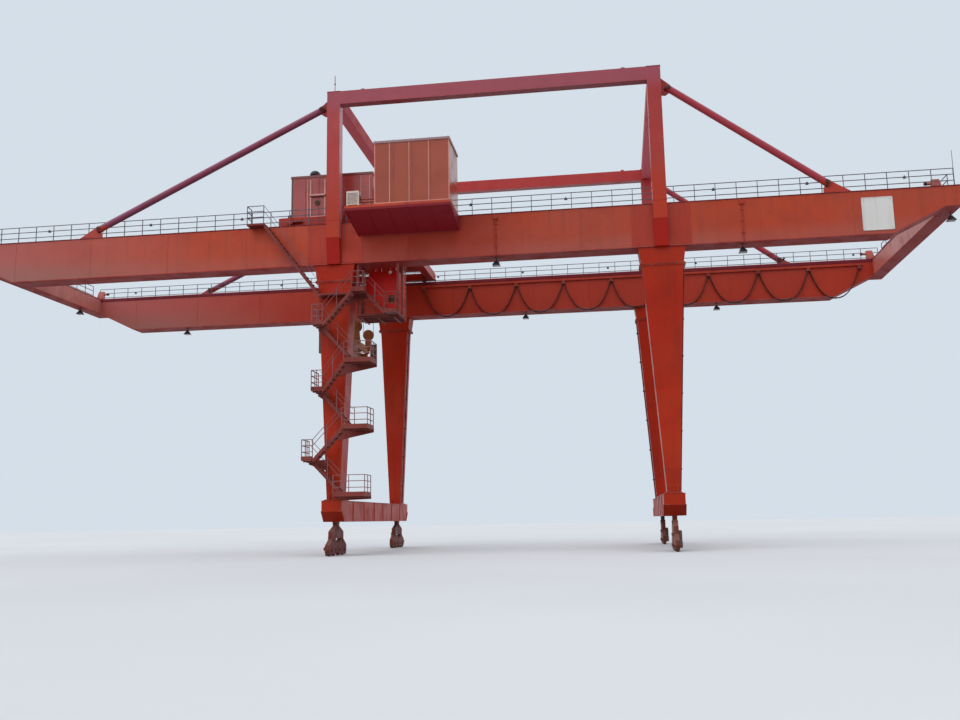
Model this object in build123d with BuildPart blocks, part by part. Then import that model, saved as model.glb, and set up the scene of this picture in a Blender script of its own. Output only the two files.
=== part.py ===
from build123d import *
import os
from math import atan2, degrees, hypot, radians, tan

os.makedirs("parts", exist_ok=True)

# Rail-mounted gantry crane, a model at half the real size, in millimetres.
# X runs along the girders, Y along the crane rails and Z up from the rail tops.
# The origin lies midway between the rails and midway between the girders.
gauge = 9900
girder_spacing = 8000
girder_top = 10100
girder_depth = 1300
girder_width = 700
tip_depth = 590
tip_length = 460
left_overhang = 12650
right_overhang = 8410
haunch_length = 1450

rail_width = 50
rail_height = 60
rail_inset = 525
stop_length = 300
stop_height = 300
stop_width = 120
stop_slant = 90
stop_buffer_diameter = 90
stop_buffer_length = 200
stop_end_gaps = {"left": 184, "right": 320}
stop_buffer_rise = 190

# Legs, heads, sill beams and bogies.
sill_top = 1600
sill_depth = 600
sill_width = 600
sill_overrun = 500
leg_depth = 650
leg_widths = {"left": (390, 1030), "right": (360, 1190)}
head_height = 540
head_widths = {"left": (1120, 1260), "right": (1236, 1390)}
seam_thickness = 40
seam_lip = 40

wheel_diameter = 320
wheel_width = 70
wheel_spacing = 430
bogie_spacing = 900
wheel_clearance = 0.3
wheel_tread_gap = 12
bogie_plate = 30
bogie_end = 230
balance_bottom = 500
pivot_height = 130
buffer_diameter = 120
buffer_length = 150

# Upper portal frame on the girders.
portal_top = 14325
post_width = 410
post_outside = 225
post_inside = 100
post_lap = 520
bracket_height = 800
bracket_toe = 100
top_beam_depth = 425
top_beam_width = 300
cross_beam_depth = 375
cross_beam_width = 350
rod_height = 600
rod_diameter = 24

# Stay tubes and their gusset plates.
stay_diameter = 210
stay_inset = 40
gusset_thickness = 24
stay_reaches = {"left": 7880, "right": 4860}
stay_top_drops = {"left": 430, "right": 590}
stay_top_reach = 150
stay_foot_rise = 255

# Platform and electrical house on the outside of the near girder.
platform_left = -4200
platform_right = -1050
platform_reach = 1550
platform_thickness = 60
platform_edge_depth = 150
platform_bracket_depth = 400
platform_bracket_count = 6
house_length = 2225
house_depth = 1480
house_height = 1925
house_back_gap = 40
roof_lip = 25
roof_thickness = 70
panel_count = 4
seam_width = 24
seam_proud = 12
cooler_length = 370
cooler_depth = 260
cooler_height = 420
cooler_leg_height = 50

# Railings.
railing_height = 565
railing_levels = (205, 390, 565)
railing_bar = 20
railing_bay = 607
railing_inset = 170
railing_gate = 900
railing_end_inset = 100

# Stairs on the near left leg, all on the outside of the crane.
lane_width = 320
lane_gap = 20
stair_gap = 55
stringer_thickness = 20
stringer_depth = 130
tread_rise = 125
tread_depth = 110
tread_thickness = 16
landing_thickness = 60
stair_bracket_thickness = 24
stair_bracket_depth = 340
left_landing_cut = 150
right_landing_cut = 250

# Trolley.
trolley_left = -6900
trolley_right = -3350
carriage_width = 240
carriage_depth = 280
carriage_lift = 50
deck_level = 10560
cross_girder_width = 300
cross_girder_depth = 340
cross_girder_inset = 20
deck_inset = 60
deck_thickness = 20
trolley_wheel_diameter = 300
trolley_wheel_inset = 420
machinery_left = -6590
machinery_right = -3930
machinery_reach = 3650
machinery_height = 1400
machinery_panels = 6
vent_diameter = 330
vent_height = 200

# Operator's cab below the trolley.
cab_right = -3200
cab_near = -3250
cab_width = 1000
cab_top = 8765
cab_length = 1095
cab_roof_length = 910
cab_nose_level = 8130
cab_heel_length = 495
cab_heel_level = 7600
cab_floor = 7545
hanger_width = 90
hanger_inset = 60
ladder_width = 360
ladder_reach = 140
ladder_bottom = 7200
ladder_rungs = 18

# Gallery under the near girder, where the driver boards the cab.
gallery_left = -4250
gallery_right = -2950
gallery_level = 7200
gallery_near = -4280
gallery_far = -3330
gallery_entry_length = 360
gallery_thickness = 60
gallery_post = 60

# Hoist, head block and spreader.
hoist_x = -5700
sheave_diameter = 350
sheave_thickness = 90
sheave_level = 7550
sheave_offset_x = 478
sheave_offset_y = 800
cheek_thickness = 20
cheek_rise = 90
rope_diameter = 16
head_frame_depth = 220
head_frame_half = 440
head_beam_width = 110
head_cross_width = 170
spreader_length = 3029
spreader_width = 1219
spreader_bottom = 6620
spreader_depth = 260
side_beam_width = 130
side_beam_offset = 190
end_beam_depth = 200
end_beam_length = 150
casting_inset_x = 44.75
casting_inset_y = 51.25
twistlock_radius = 24
twistlock_length = 70
flipper_top = 7350
flipper_drop = 80
flipper_width = 220
flipper_thickness = 90
flipper_inset = 20

# Cable loops of the trolley's power supply, on the far girder's inner face.
festoon_left = -3740
festoon_pitch = 1795
festoon_count = 10
festoon_top_drop = 220
festoon_sag = 1060
festoon_cable = 44
festoon_gap = 60
carrier_width = 120

# Floodlights below the girders and end beams.
lamp_width = 240
lamp_height = 150
lamp_stem = 90

# Places that follow from the sizes above.
leg_x = gauge / 2
girder_y = girder_spacing / 2
web_y = girder_y + girder_width / 2
inner_web_y = girder_y - girder_width / 2
rail_y = web_y - rail_inset
left_end = -leg_x - left_overhang
right_end = leg_x + right_overhang
girder_bottom = girder_top - girder_depth
tip_bottom = girder_top - tip_depth
rail_top = girder_top + rail_height
stop_buffer_level = rail_top + stop_buffer_rise
leg_top = girder_bottom - head_height
stay_y = web_y - stay_inset
post_side = post_width / 2
sides = {"near": -1, "far": 1}
ends = {"left": -1, "right": 1}


def block(x0, x1, y0, y1, z0, z1, mode=Mode.ADD):
    """A box between two opposite corners, in the part being built."""
    with Locations(((x0 + x1) / 2, (y0 + y1) / 2, (z0 + z1) / 2)):
        Box(abs(x1 - x0), abs(y1 - y0), abs(z1 - z0), mode=mode)


def plate_xz(points, y0, y1, mode=Mode.ADD):
    """A plate with an outline of (x, z) points, from y0 to y1."""
    with BuildSketch(Plane.XZ.offset(-y0)) as outline:
        with BuildLine():
            Polyline(*points, close=True)
        make_face()
    extrude(outline.sketch, amount=y0 - y1, mode=mode)


def plate_yz(points, x0, x1, mode=Mode.ADD):
    """A plate with an outline of (y, z) points, from x0 to x1."""
    with BuildSketch(Plane.YZ.offset(x0)) as outline:
        with BuildLine():
            Polyline(*points, close=True)
        make_face()
    extrude(outline.sketch, amount=x1 - x0, mode=mode)


def tube_between(start, end, diameter):
    """A round bar between two points."""
    along = Vector(*end) - Vector(*start)
    with BuildSketch(Plane(origin=start, z_dir=along)) as section:
        Circle(diameter / 2)
    extrude(section.sketch, amount=along.length)


def save(builder, name):
    """Labels a finished piece and writes its file."""
    builder.part.label = name
    export_step(builder.part, f"parts/{name}.step")


# Box girders with haunched ends, each with its trolley rail on top.
girder_outline = [
    (left_end, girder_top),
    (left_end, tip_bottom),
    (left_end + tip_length, tip_bottom),
    (left_end + tip_length + haunch_length, girder_bottom),
    (right_end - tip_length - haunch_length, girder_bottom),
    (right_end - tip_length, tip_bottom),
    (right_end, tip_bottom),
    (right_end, girder_top),
]
for side, sign in sides.items():
    with BuildPart() as girder:
        plate_xz(girder_outline, sign * inner_web_y, sign * web_y)
        rail_edges = (sign * rail_y - rail_width / 2, sign * rail_y + rail_width / 2)
        block(left_end, right_end, *rail_edges, girder_top, rail_top)
    save(girder, f"{side}_girder")

# End beams between the girder tips, with a buffered stop on each trolley rail.
for end, sign in ends.items():
    tip = left_end if sign < 0 else right_end
    back = tip - sign * stop_end_gaps[end]
    front = back - sign * stop_length
    with BuildPart() as end_beam:
        block(tip, tip - sign * tip_length, -inner_web_y, inner_web_y, tip_bottom, girder_top)
        for side_sign in sides.values():
            y = side_sign * rail_y
            outline = [
                (back, rail_top),
                (back - sign * stop_slant, rail_top + stop_height),
                (front, rail_top + stop_height),
                (front, rail_top),
            ]
            plate_xz(outline, y - stop_width / 2, y + stop_width / 2)
            buffer_start = (front, y, stop_buffer_level)
            buffer_end = (front - sign * stop_buffer_length, y, stop_buffer_level)
            tube_between(buffer_start, buffer_end, stop_buffer_diameter)
    save(end_beam, f"{end}_end_beam")

# Legs, wide at the head and narrow at the sill, with a bolted seam below the head.
for side, side_sign in sides.items():
    for end, end_sign in ends.items():
        place = (end_sign * leg_x, side_sign * girder_y)
        foot_width, top_width = leg_widths[end]
        head_foot_width, head_top_width = head_widths[end]
        seam_size = (head_foot_width + 2 * seam_lip, leg_depth + seam_lip)
        with BuildPart() as leg:
            with BuildSketch(Plane((*place, sill_top))):
                Rectangle(foot_width, leg_depth)
            with BuildSketch(Plane((*place, leg_top - seam_thickness))):
                Rectangle(top_width, leg_depth)
            loft(ruled=True)
            with BuildSketch(Plane((*place, leg_top - seam_thickness))):
                Rectangle(*seam_size)
            extrude(amount=2 * seam_thickness)
            with BuildSketch(Plane((*place, leg_top + seam_thickness))):
                Rectangle(head_foot_width, girder_width - seam_lip)
            with BuildSketch(Plane((*place, girder_bottom))):
                Rectangle(head_top_width, girder_width - seam_lip)
            loft(ruled=True)
        save(leg, f"{side}_{end}_leg")

# Sill beams along the rails, with raked ends.
sill_bottom = sill_top - sill_depth
sill_half = girder_y + sill_overrun
sill_rake = 260
for end, sign in ends.items():
    with BuildPart() as sill:
        outline = [
            (-sill_half, sill_top),
            (-sill_half, sill_top - sill_depth / 2),
            (-sill_half + sill_rake, sill_bottom),
            (sill_half - sill_rake, sill_bottom),
            (sill_half, sill_top - sill_depth / 2),
            (sill_half, sill_top),
        ]
        plate_yz(outline, sign * leg_x - sill_width / 2, sign * leg_x + sill_width / 2)
    save(sill, f"{end}_sill_beam")

# Bogies: a balance beam on a pivot and two wheel frames, with four wheels.
wheel_radius = wheel_diameter / 2
frame_inside = wheel_width / 2 + wheel_clearance
frame_outside = frame_inside + bogie_plate
balance_top = sill_bottom - pivot_height
balance_reach = bogie_spacing / 2 + 120
bogie_places = [
    half * bogie_spacing / 2 + quarter * wheel_spacing / 2
    for half in (-1, 1)
    for quarter in (-1, 1)
]
with BuildPart() as bogie:
    outline = [
        (-160, sill_bottom),
        (160, sill_bottom),
        (110, balance_top),
        (balance_reach, balance_top - 170),
        (balance_reach, balance_bottom),
        (-balance_reach, balance_bottom),
        (-balance_reach, balance_top - 170),
        (-110, balance_top),
    ]
    plate_yz(outline, -frame_outside, frame_outside)
    for half in (-1, 1):
        c = half * bogie_spacing / 2
        reach = wheel_spacing / 2
        flank = reach + (bogie_end if half > 0 else 205)
        near_flank = reach + (205 if half > 0 else bogie_end)
        outline = [
            (c - 90, balance_bottom),
            (c - near_flank, wheel_radius + 150),
            (c - near_flank, wheel_radius - 60),
            (c - reach + 60, wheel_radius - 100),
            (c + reach - 60, wheel_radius - 100),
            (c + flank, wheel_radius - 60),
            (c + flank, wheel_radius + 150),
            (c + 90, balance_bottom),
        ]
        plate_yz(outline, -frame_outside, frame_outside)
    half_slot = wheel_radius + wheel_tread_gap
    slot_centres = [(0, place, (wheel_radius + half_slot) / 2) for place in bogie_places]
    with Locations(*slot_centres):
        Box(2 * frame_inside, 2 * half_slot, wheel_radius + half_slot, mode=Mode.SUBTRACT)
    outer = bogie_places[0] - bogie_end
    tube_between((0, outer, wheel_radius + 60), (0, outer - buffer_length, wheel_radius + 60), buffer_diameter)
    with BuildSketch(Plane.YZ.offset(-wheel_width / 2)):
        with Locations(*[(place, wheel_radius) for place in bogie_places]):
            Circle(wheel_radius)
    extrude(amount=wheel_width)
for side, side_sign in sides.items():
    turn = 0 if side_sign < 0 else 180
    for end, end_sign in ends.items():
        with BuildPart() as placed:
            with Locations(Location((end_sign * leg_x, side_sign * girder_y, 0), (0, 0, turn))):
                add(bogie.part)
        save(placed, f"{side}_{end}_bogie")

# Posts, half on the girder and half lapped down its outer web onto a bracket.
for side, side_sign in sides.items():
    for end, end_sign in ends.items():
        x = end_sign * leg_x
        outer = side_sign * (web_y + post_outside)
        inner = side_sign * (web_y - post_inside)
        toe = side_sign * (web_y + bracket_toe)
        lap_bottom = girder_top - post_lap
        with BuildPart() as post:
            outline = [
                (inner, portal_top),
                (outer, portal_top),
                (outer, lap_bottom),
                (toe, lap_bottom - bracket_height),
                (side_sign * web_y, lap_bottom - bracket_height),
                (side_sign * web_y, girder_top),
                (inner, girder_top),
            ]
            plate_yz(outline, x - post_side, x + post_side)
            if (side, end) == ("near", "left"):
                rod_y = (outer + inner) / 2
                tube_between((x, rod_y, portal_top), (x, rod_y, portal_top + rod_height), rod_diameter)
        save(post, f"{side}_{end}_post")

# Top beams along the girders and cross beams between the posts.
for side, sign in sides.items():
    outer = sign * (web_y + post_outside)
    with BuildPart() as top_beam:
        block(-leg_x + post_side, leg_x - post_side, outer, outer - sign * top_beam_width,
              portal_top - top_beam_depth, portal_top)
    save(top_beam, f"{side}_top_beam")
for end, sign in ends.items():
    half = web_y - post_inside
    with BuildPart() as cross_beam:
        block(sign * leg_x - cross_beam_width / 2, sign * leg_x + cross_beam_width / 2, -half, half,
              portal_top - cross_beam_depth, portal_top)
    save(cross_beam, f"{end}_cross_beam")

# Stays: a tube from a gusset at the portal's corner to a gusset on the girder.
for side, side_sign in sides.items():
    for end, end_sign in ends.items():
        y = side_sign * stay_y
        plate = (y - gusset_thickness / 2, y + gusset_thickness / 2)
        face = end_sign * (leg_x + post_side)
        top = (end_sign * (leg_x + post_side + stay_top_reach), y, portal_top - stay_top_drops[end])
        foot = (end_sign * (leg_x + stay_reaches[end]), y, girder_top + stay_foot_rise)
        slope = (top[2] - foot[2]) / abs(top[0] - foot[0])
        with BuildPart() as stay:
            tube_between(foot, top, stay_diameter)
            outline = [
                (face, top[2] + 300),
                (face, top[2] - 260),
                (face + end_sign * 130, top[2] - 280),
                (face + end_sign * 300, top[2] - 160),
                (face + end_sign * 260, top[2] + 70),
            ]
            plate_xz(outline, *plate)
            foot_x = foot[0]
            outline = [
                (foot_x - end_sign * 180, girder_top),
                (foot_x - end_sign * 180, girder_top + 130),
                (foot_x - end_sign * 60, girder_top + 360 + 60 * slope),
                (foot_x + end_sign * 40, girder_top + 360),
                (foot_x + end_sign * 620, girder_top),
            ]
            plate_xz(outline, *plate)
        save(stay, f"{side}_{end}_stay")

# Platform bracketed off the near girder, for the electrical house.
platform_out = -web_y - platform_reach
with BuildPart() as platform:
    block(platform_left, platform_right, platform_out, -web_y,
          girder_top - platform_thickness, girder_top)
    block(platform_left, platform_right, platform_out, platform_out + 60,
          girder_top - platform_edge_depth, girder_top)
    pitch = (platform_right - platform_left - 40) / (platform_bracket_count - 1)
    for n in range(platform_bracket_count):
        x = platform_left + n * pitch
        outline = [
            (-web_y, girder_top - platform_thickness),
            (platform_out, girder_top - platform_thickness),
            (platform_out, girder_top - platform_edge_depth),
            (-web_y, girder_top - platform_bracket_depth - platform_thickness),
        ]
        plate_yz(outline, x, x + 40)
save(platform, "house_platform")

# Electrical house with panel seams and a lipped roof.
house_front = -web_y - house_back_gap - house_depth
house_back = -web_y - house_back_gap
house_right = platform_right - roof_lip
house_left = house_right - house_length
house_eaves = girder_top + house_height - roof_thickness
with BuildPart() as house:
    block(house_left, house_right, house_front, house_back, girder_top, house_eaves)
    block(house_left - roof_lip, house_right + roof_lip, house_front - roof_lip, house_back + roof_lip,
          house_eaves, girder_top + house_height)
    for n in range(panel_count + 1):
        x = house_left + n * (house_length - seam_width) / panel_count
        block(x, x + seam_width, house_front - seam_proud, house_front, girder_top, house_eaves)
save(house, "electrical_house")

# Air conditioner on short legs, on the open end of the platform.
cooler_left = platform_left + 40
cooler_front = platform_out + 80
with BuildPart() as cooler:
    block(cooler_left, cooler_left + cooler_length, cooler_front, cooler_front + cooler_depth,
          girder_top + cooler_leg_height, girder_top + cooler_leg_height + cooler_height)
    for x in (cooler_left, cooler_left + cooler_length - 40):
        block(x, x + 40, cooler_front, cooler_front + cooler_depth, girder_top, girder_top + cooler_leg_height)
save(cooler, "air_conditioner")


def fence_x(x0, x1, y, base, count):
    """A straight railing along X with posts at equal steps."""
    length = x1 - x0
    first = x0 + railing_bar / 2
    step = (length - railing_bar) / count
    with Locations(*[(first + n * step, y, base + railing_height / 2) for n in range(count + 1)]):
        Box(railing_bar, railing_bar, railing_height)
    with Locations(*[((x0 + x1) / 2, y, base + level - railing_bar / 2) for level in railing_levels]):
        Box(length, railing_bar, railing_bar)


def fence_y(x, y0, y1, base, count):
    """A straight railing along Y with posts at equal steps."""
    length = y1 - y0
    first = y0 + railing_bar / 2
    step = (length - railing_bar) / count
    with Locations(*[(x, first + n * step, base + railing_height / 2) for n in range(count + 1)]):
        Box(railing_bar, railing_bar, railing_height)
    with Locations(*[(x, (y0 + y1) / 2, base + level - railing_bar / 2) for level in railing_levels]):
        Box(railing_bar, length, railing_bar)


# Railings on the outer edges of the girders, with a gate at the platform.
railing_y = web_y - railing_inset
gate_left = platform_left + 200
gate_right = gate_left + railing_gate
railing_ends = (left_end + railing_end_inset, right_end - railing_end_inset)
with BuildPart() as near_railing:
    for x0, x1 in ((railing_ends[0], gate_left), (gate_right, railing_ends[1])):
        fence_x(x0, x1, -railing_y, girder_top, round((x1 - x0) / railing_bay))
save(near_railing, "near_railing")
with BuildPart() as far_railing:
    x0, x1 = railing_ends
    fence_x(x0, x1, railing_y, girder_top, round((x1 - x0) / railing_bay))
save(far_railing, "far_railing")

# Railings across the end beams.
with BuildPart() as end_railings:
    for x in (left_end + railing_end_inset, right_end - railing_end_inset):
        fence_y(x, -inner_web_y, inner_web_y, girder_top, round(2 * inner_web_y / railing_bay))
save(end_railings, "end_railings")

# Stair landings as name: (left, right, level), the flights between them and their lanes.
landings = {
    "base": (-4750, -3790, 1760),
    "first_left": (-5700, -5350, 2810),
    "first_right": (-4500, -3710, 3715),
    "second_left": (-5430, -5080, 4850),
    "second_right": (-4450, -3620, 5675),
    "third_left": (-5440, -5090, 6845),
    "head_right": (-4230, -3850, 7800),
}
flights = [
    ("base", "first_left", "inner"),
    ("first_left", "first_right", "outer"),
    ("first_right", "second_left", "inner"),
    ("second_left", "second_right", "outer"),
    ("second_right", "third_left", "inner"),
    ("third_left", "head_right", "outer"),
]
inner_lane_y = -web_y - stair_gap
outer_lane_y = inner_lane_y - lane_width - lane_gap
stair_out = outer_lane_y - lane_width
head_walk = (-5320, landings["head_right"][0])
head_level = landings["head_right"][2]
girder_landing = (-7650, -7100, girder_top + 30)
gallery_entry = gallery_right - gallery_entry_length


def inner_edge(name, lane):
    """Where a flight in the given lane meets a landing, on the side of the leg."""
    left, right, level = landings[name]
    cut = lane == "inner" and name != "head_right"
    if right < -leg_x:
        return right - (left_landing_cut if cut else 0), level
    return left + (right_landing_cut if cut else 0), level


stair_lines = []
for low, high, lane in flights:
    outer_edge = inner_lane_y if lane == "inner" else outer_lane_y
    stair_lines.append((inner_edge(low, lane), inner_edge(high, lane), outer_edge))
stair_lines.append(((head_walk[0], head_level), (girder_landing[1], girder_landing[2]), inner_lane_y))
stair_lines.append(((gallery_entry, gallery_level), (landings["head_right"][1], head_level), inner_lane_y))

stair_bracket_out = -girder_y - leg_depth / 2 - stair_bracket_thickness
with BuildPart() as stair_frame:
    for (x0, z0), (x1, z1), lane_y in stair_lines:
        outline = [(x0, z0), (x1, z1), (x1, z1 - stringer_depth), (x0, z0 - stringer_depth)]
        for y in (lane_y, lane_y - lane_width + stringer_thickness):
            plate_xz(outline, y - stringer_thickness, y)
save(stair_frame, "stair_stringers")

tread_centres = []
for (x0, z0), (x1, z1), lane_y in stair_lines:
    steps = round((z1 - z0) / tread_rise)
    for n in range(1, steps):
        z = z0 + (z1 - z0) * n / steps - 30
        tread_centres.append((x0 + (x1 - x0) * n / steps, lane_y - lane_width / 2, z - tread_thickness / 2))
with BuildPart() as treads:
    with Locations(*tread_centres):
        Box(tread_depth, lane_width - 2 * stringer_thickness, tread_thickness)
save(treads, "stair_treads")

bracket_root = 150
with BuildPart() as landing_plates:
    for name, (x0, x1, level) in landings.items():
        on_left = x1 < -leg_x
        inner_end = inner_edge(name, "inner")[0]
        block(x0, x1, stair_out, outer_lane_y, level - landing_thickness, level)
        block(inner_end, x0 if on_left else x1, outer_lane_y, stair_bracket_out, level - landing_thickness, level)
        tip = x0 if on_left else x1
        root = -leg_x - bracket_root if on_left else -leg_x + bracket_root
        root_depth = min(stair_bracket_depth, level - sill_top)
        outline = [
            (tip, level),
            (root, level),
            (root, level - root_depth),
            (tip, level - landing_thickness - 70),
        ]
        plate_xz(outline, stair_bracket_out, stair_bracket_out + stair_bracket_thickness)
    block(head_walk[0], head_walk[1], inner_lane_y - lane_width, stair_bracket_out,
          head_level - landing_thickness, head_level)
    block(girder_landing[0], girder_landing[1], inner_lane_y - lane_width, -web_y,
          girder_landing[2] - landing_thickness, girder_landing[2])
save(landing_plates, "stair_landings")


def sloped_rail(start, end, y, level):
    """A handrail bar that follows a flight at a height above it."""
    (x0, z0), (x1, z1) = start, end
    outline = [
        (x0, z0 + level),
        (x1, z1 + level),
        (x1, z1 + level - railing_bar),
        (x0, z0 + level - railing_bar),
    ]
    plate_xz(outline, y - railing_bar / 2, y + railing_bar / 2)


with BuildPart() as stair_railings:
    half = railing_bar / 2
    for name, (x0, x1, level) in landings.items():
        fence_x(x0, x1, stair_out + half, level, 2)
        end_x = x0 + half if x1 < -leg_x else x1 - half
        end_stop = outer_lane_y if name == "head_right" else stair_bracket_out
        fence_y(end_x, stair_out, end_stop, level, 2)
    for (x0, z0), (x1, z1), lane_y in stair_lines:
        y = lane_y - lane_width - half
        for level in (railing_levels[1], railing_levels[2]):
            sloped_rail((x0, z0), (x1, z1), y, level)
        middle_x = (x0 + x1) / 2
        middle_z = (z0 + z1) / 2
        block(middle_x - half, middle_x + half, y - half, y + half, middle_z - 80, middle_z + railing_height - 30)
    fence_x(girder_landing[0], girder_landing[1], inner_lane_y - lane_width + half, girder_landing[2], 1)
    fence_y(girder_landing[0] + half, inner_lane_y - lane_width, -web_y, girder_landing[2], 1)
save(stair_railings, "stair_railings")

# Gallery for boarding the cab, hung from the near girder, with its own railing.
gallery_lane = inner_lane_y - lane_width
with BuildPart() as gallery:
    block(gallery_left, gallery_right, gallery_near, gallery_far, gallery_level - gallery_thickness, gallery_level)
    block(gallery_entry, gallery_right, gallery_lane, gallery_near, gallery_level - gallery_thickness, gallery_level)
    for x in (gallery_left, gallery_right - gallery_post):
        for y in (gallery_near, -inner_web_y - gallery_post):
            block(x, x + gallery_post, y, y + gallery_post, gallery_level, girder_bottom)
    half = railing_bar / 2
    fence_x(gallery_left + gallery_post, gallery_entry, gallery_near + half, gallery_level, 2)
    fence_x(gallery_entry, gallery_right, gallery_lane + half, gallery_level, 1)
    fence_y(gallery_right - half, gallery_lane, gallery_near, gallery_level, 1)
    fence_y(gallery_right - half, -inner_web_y, gallery_far, gallery_level, 1)
    fence_y(gallery_left + half, gallery_near, gallery_far, gallery_level, 2)
save(gallery, "cab_gallery")

# Trolley frame: end carriages over the rails, cross girders between them and a deck.
carriage_top = rail_top + carriage_lift + carriage_depth
wheel_places = (trolley_left + trolley_wheel_inset, trolley_right - trolley_wheel_inset)
carriage_slot = wheel_width / 2 + wheel_clearance
trolley_wheel_radius = trolley_wheel_diameter / 2
trolley_axle_level = rail_top + trolley_wheel_radius
deck_bottom = deck_level - deck_thickness
cross_girder_bottom = deck_level - cross_girder_depth
with BuildPart() as trolley:
    for sign in sides.values():
        y = sign * rail_y
        block(trolley_left, trolley_right, y - carriage_width / 2, y + carriage_width / 2,
              rail_top + carriage_lift, carriage_top)
    for x in (trolley_left + cross_girder_inset, trolley_right - cross_girder_inset - cross_girder_width):
        block(x, x + cross_girder_width, -rail_y, rail_y, cross_girder_bottom, deck_bottom)
    block(trolley_left + deck_inset, trolley_right - deck_inset, -machinery_reach, machinery_reach,
          deck_bottom, deck_level)
    half_slot = trolley_wheel_radius + wheel_tread_gap
    for x in wheel_places:
        for sign in sides.values():
            y = sign * rail_y
            block(x - half_slot, x + half_slot, y - carriage_slot, y + carriage_slot, rail_top,
                  trolley_axle_level + half_slot, mode=Mode.SUBTRACT)
save(trolley, "trolley_frame")

# Trolley wheels, each filling its slot in the carriage.
with BuildPart() as trolley_wheels:
    for sign in sides.values():
        with BuildSketch(Plane.XZ.offset(-sign * rail_y - wheel_width / 2)):
            with Locations(*[(x, trolley_axle_level) for x in wheel_places]):
                Circle(trolley_wheel_radius)
        extrude(amount=wheel_width)
save(trolley_wheels, "trolley_wheels")

# Machinery house on the trolley, with a round vent on its roof.
machinery_top = deck_level + machinery_height
machinery_length = machinery_right - machinery_left
with BuildPart() as machinery:
    block(machinery_left, machinery_right, -machinery_reach, machinery_reach, deck_level,
          machinery_top - roof_thickness)
    block(machinery_left - roof_lip, machinery_right + roof_lip, -machinery_reach - roof_lip,
          machinery_reach + roof_lip, machinery_top - roof_thickness, machinery_top)
    for n in range(machinery_panels + 1):
        x = machinery_left + n * (machinery_length - seam_width) / machinery_panels
        block(x, x + seam_width, -machinery_reach - seam_proud, -machinery_reach, deck_level,
              machinery_top - roof_thickness)
    with BuildSketch(Plane((machinery_left + 720, -machinery_reach + 420, machinery_top))):
        Circle(vent_diameter / 2)
    extrude(amount=vent_height, taper=18)
save(machinery, "machinery_house")

# Operator's cab with a raked nose, facing the hoist, on four hanger posts.
cab_far = cab_near + cab_width
with BuildPart() as cab:
    outline = [
        (cab_right, cab_top),
        (cab_right - cab_roof_length, cab_top),
        (cab_right - cab_length, cab_nose_level),
        (cab_right - cab_heel_length, cab_heel_level),
        (cab_right, cab_floor),
    ]
    plate_xz(outline, cab_near, cab_far)
    right_post = trolley_right - cross_girder_inset - cross_girder_width / 2
    left_post = cab_right - cab_roof_length + hanger_inset + hanger_width / 2
    for x, top in ((left_post, deck_bottom), (right_post, cross_girder_bottom)):
        for y in (cab_near + hanger_inset, cab_far - hanger_inset - hanger_width):
            block(x - hanger_width / 2, x + hanger_width / 2, y, y + hanger_width, cab_top, top)
save(cab, "operator_cab")

# Ladder from the trolley down the back of the cab.
ladder_x = (cab_right + ladder_reach, cab_right + ladder_reach + railing_bar)
ladder_y = (cab_near + hanger_inset, cab_near + hanger_inset + ladder_width)
rung_step = (cross_girder_bottom - ladder_bottom) / (ladder_rungs + 1)
with BuildPart() as ladder:
    for y in (ladder_y[0], ladder_y[1] - railing_bar):
        block(*ladder_x, y, y + railing_bar, ladder_bottom, deck_bottom)
        block(trolley_right - deck_inset, ladder_x[0], y, y + railing_bar, deck_bottom, deck_level)
        block(*ladder_x, y, y + railing_bar, deck_bottom, deck_level)
        for z in (cab_heel_level, cab_top - hanger_inset):
            block(cab_right, ladder_x[0], y, y + railing_bar, z - railing_bar, z)
    rung_places = [
        (ladder_x[0] + railing_bar / 2, ladder_y[0] + ladder_width / 2, ladder_bottom + (n + 1) * rung_step)
        for n in range(ladder_rungs)
    ]
    with Locations(*rung_places):
        Box(railing_bar, ladder_width, railing_bar)
save(ladder, "cab_ladder")

# Hoist ropes, two falls from the trolley to each of the four sheaves.
sheave_places = [
    (hoist_x + x_sign * sheave_offset_x, y_sign * sheave_offset_y)
    for x_sign in (-1, 1)
    for y_sign in (-1, 1)
]
rope_places = [
    (x + fall * (sheave_diameter + rope_diameter) / 2, y)
    for x, y in sheave_places
    for fall in (-1, 1)
]
with BuildPart() as ropes:
    with BuildSketch(Plane((0, 0, sheave_level))):
        with Locations(*rope_places):
            Circle(rope_diameter / 2)
    extrude(amount=deck_bottom - sheave_level)
save(ropes, "hoist_ropes")

# Head block: an open frame on the spreader, with a sheave in cheek plates at each corner.
spreader_top = spreader_bottom + spreader_depth
head_frame_top = spreader_top + head_frame_depth
cheek_level = head_frame_top - head_beam_width
with BuildPart() as head_block:
    half_length = sheave_offset_y + head_cross_width / 2
    for sign in (-1, 1):
        x = hoist_x + sign * head_frame_half
        block(x - head_beam_width / 2, x + head_beam_width / 2, -half_length, half_length,
              spreader_top, head_frame_top)
        y = sign * sheave_offset_y
        block(hoist_x - sheave_offset_x - 130, hoist_x + sheave_offset_x + 130, y - head_cross_width / 2,
              y + head_cross_width / 2, cheek_level, head_frame_top)
    for x, y in sheave_places:
        outline = [
            (x - 120, head_frame_top),
            (x - 70, sheave_level + cheek_rise),
            (x + 70, sheave_level + cheek_rise),
            (x + 120, head_frame_top),
        ]
        for face in (y - sheave_thickness / 2 - cheek_thickness, y + sheave_thickness / 2):
            plate_xz(outline, face, face + cheek_thickness)
        with BuildSketch(Plane.XZ.offset(-y - sheave_thickness / 2)):
            with Locations((x, sheave_level)):
                Circle(sheave_diameter / 2)
        extrude(amount=sheave_thickness)
save(head_block, "head_block")

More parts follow.
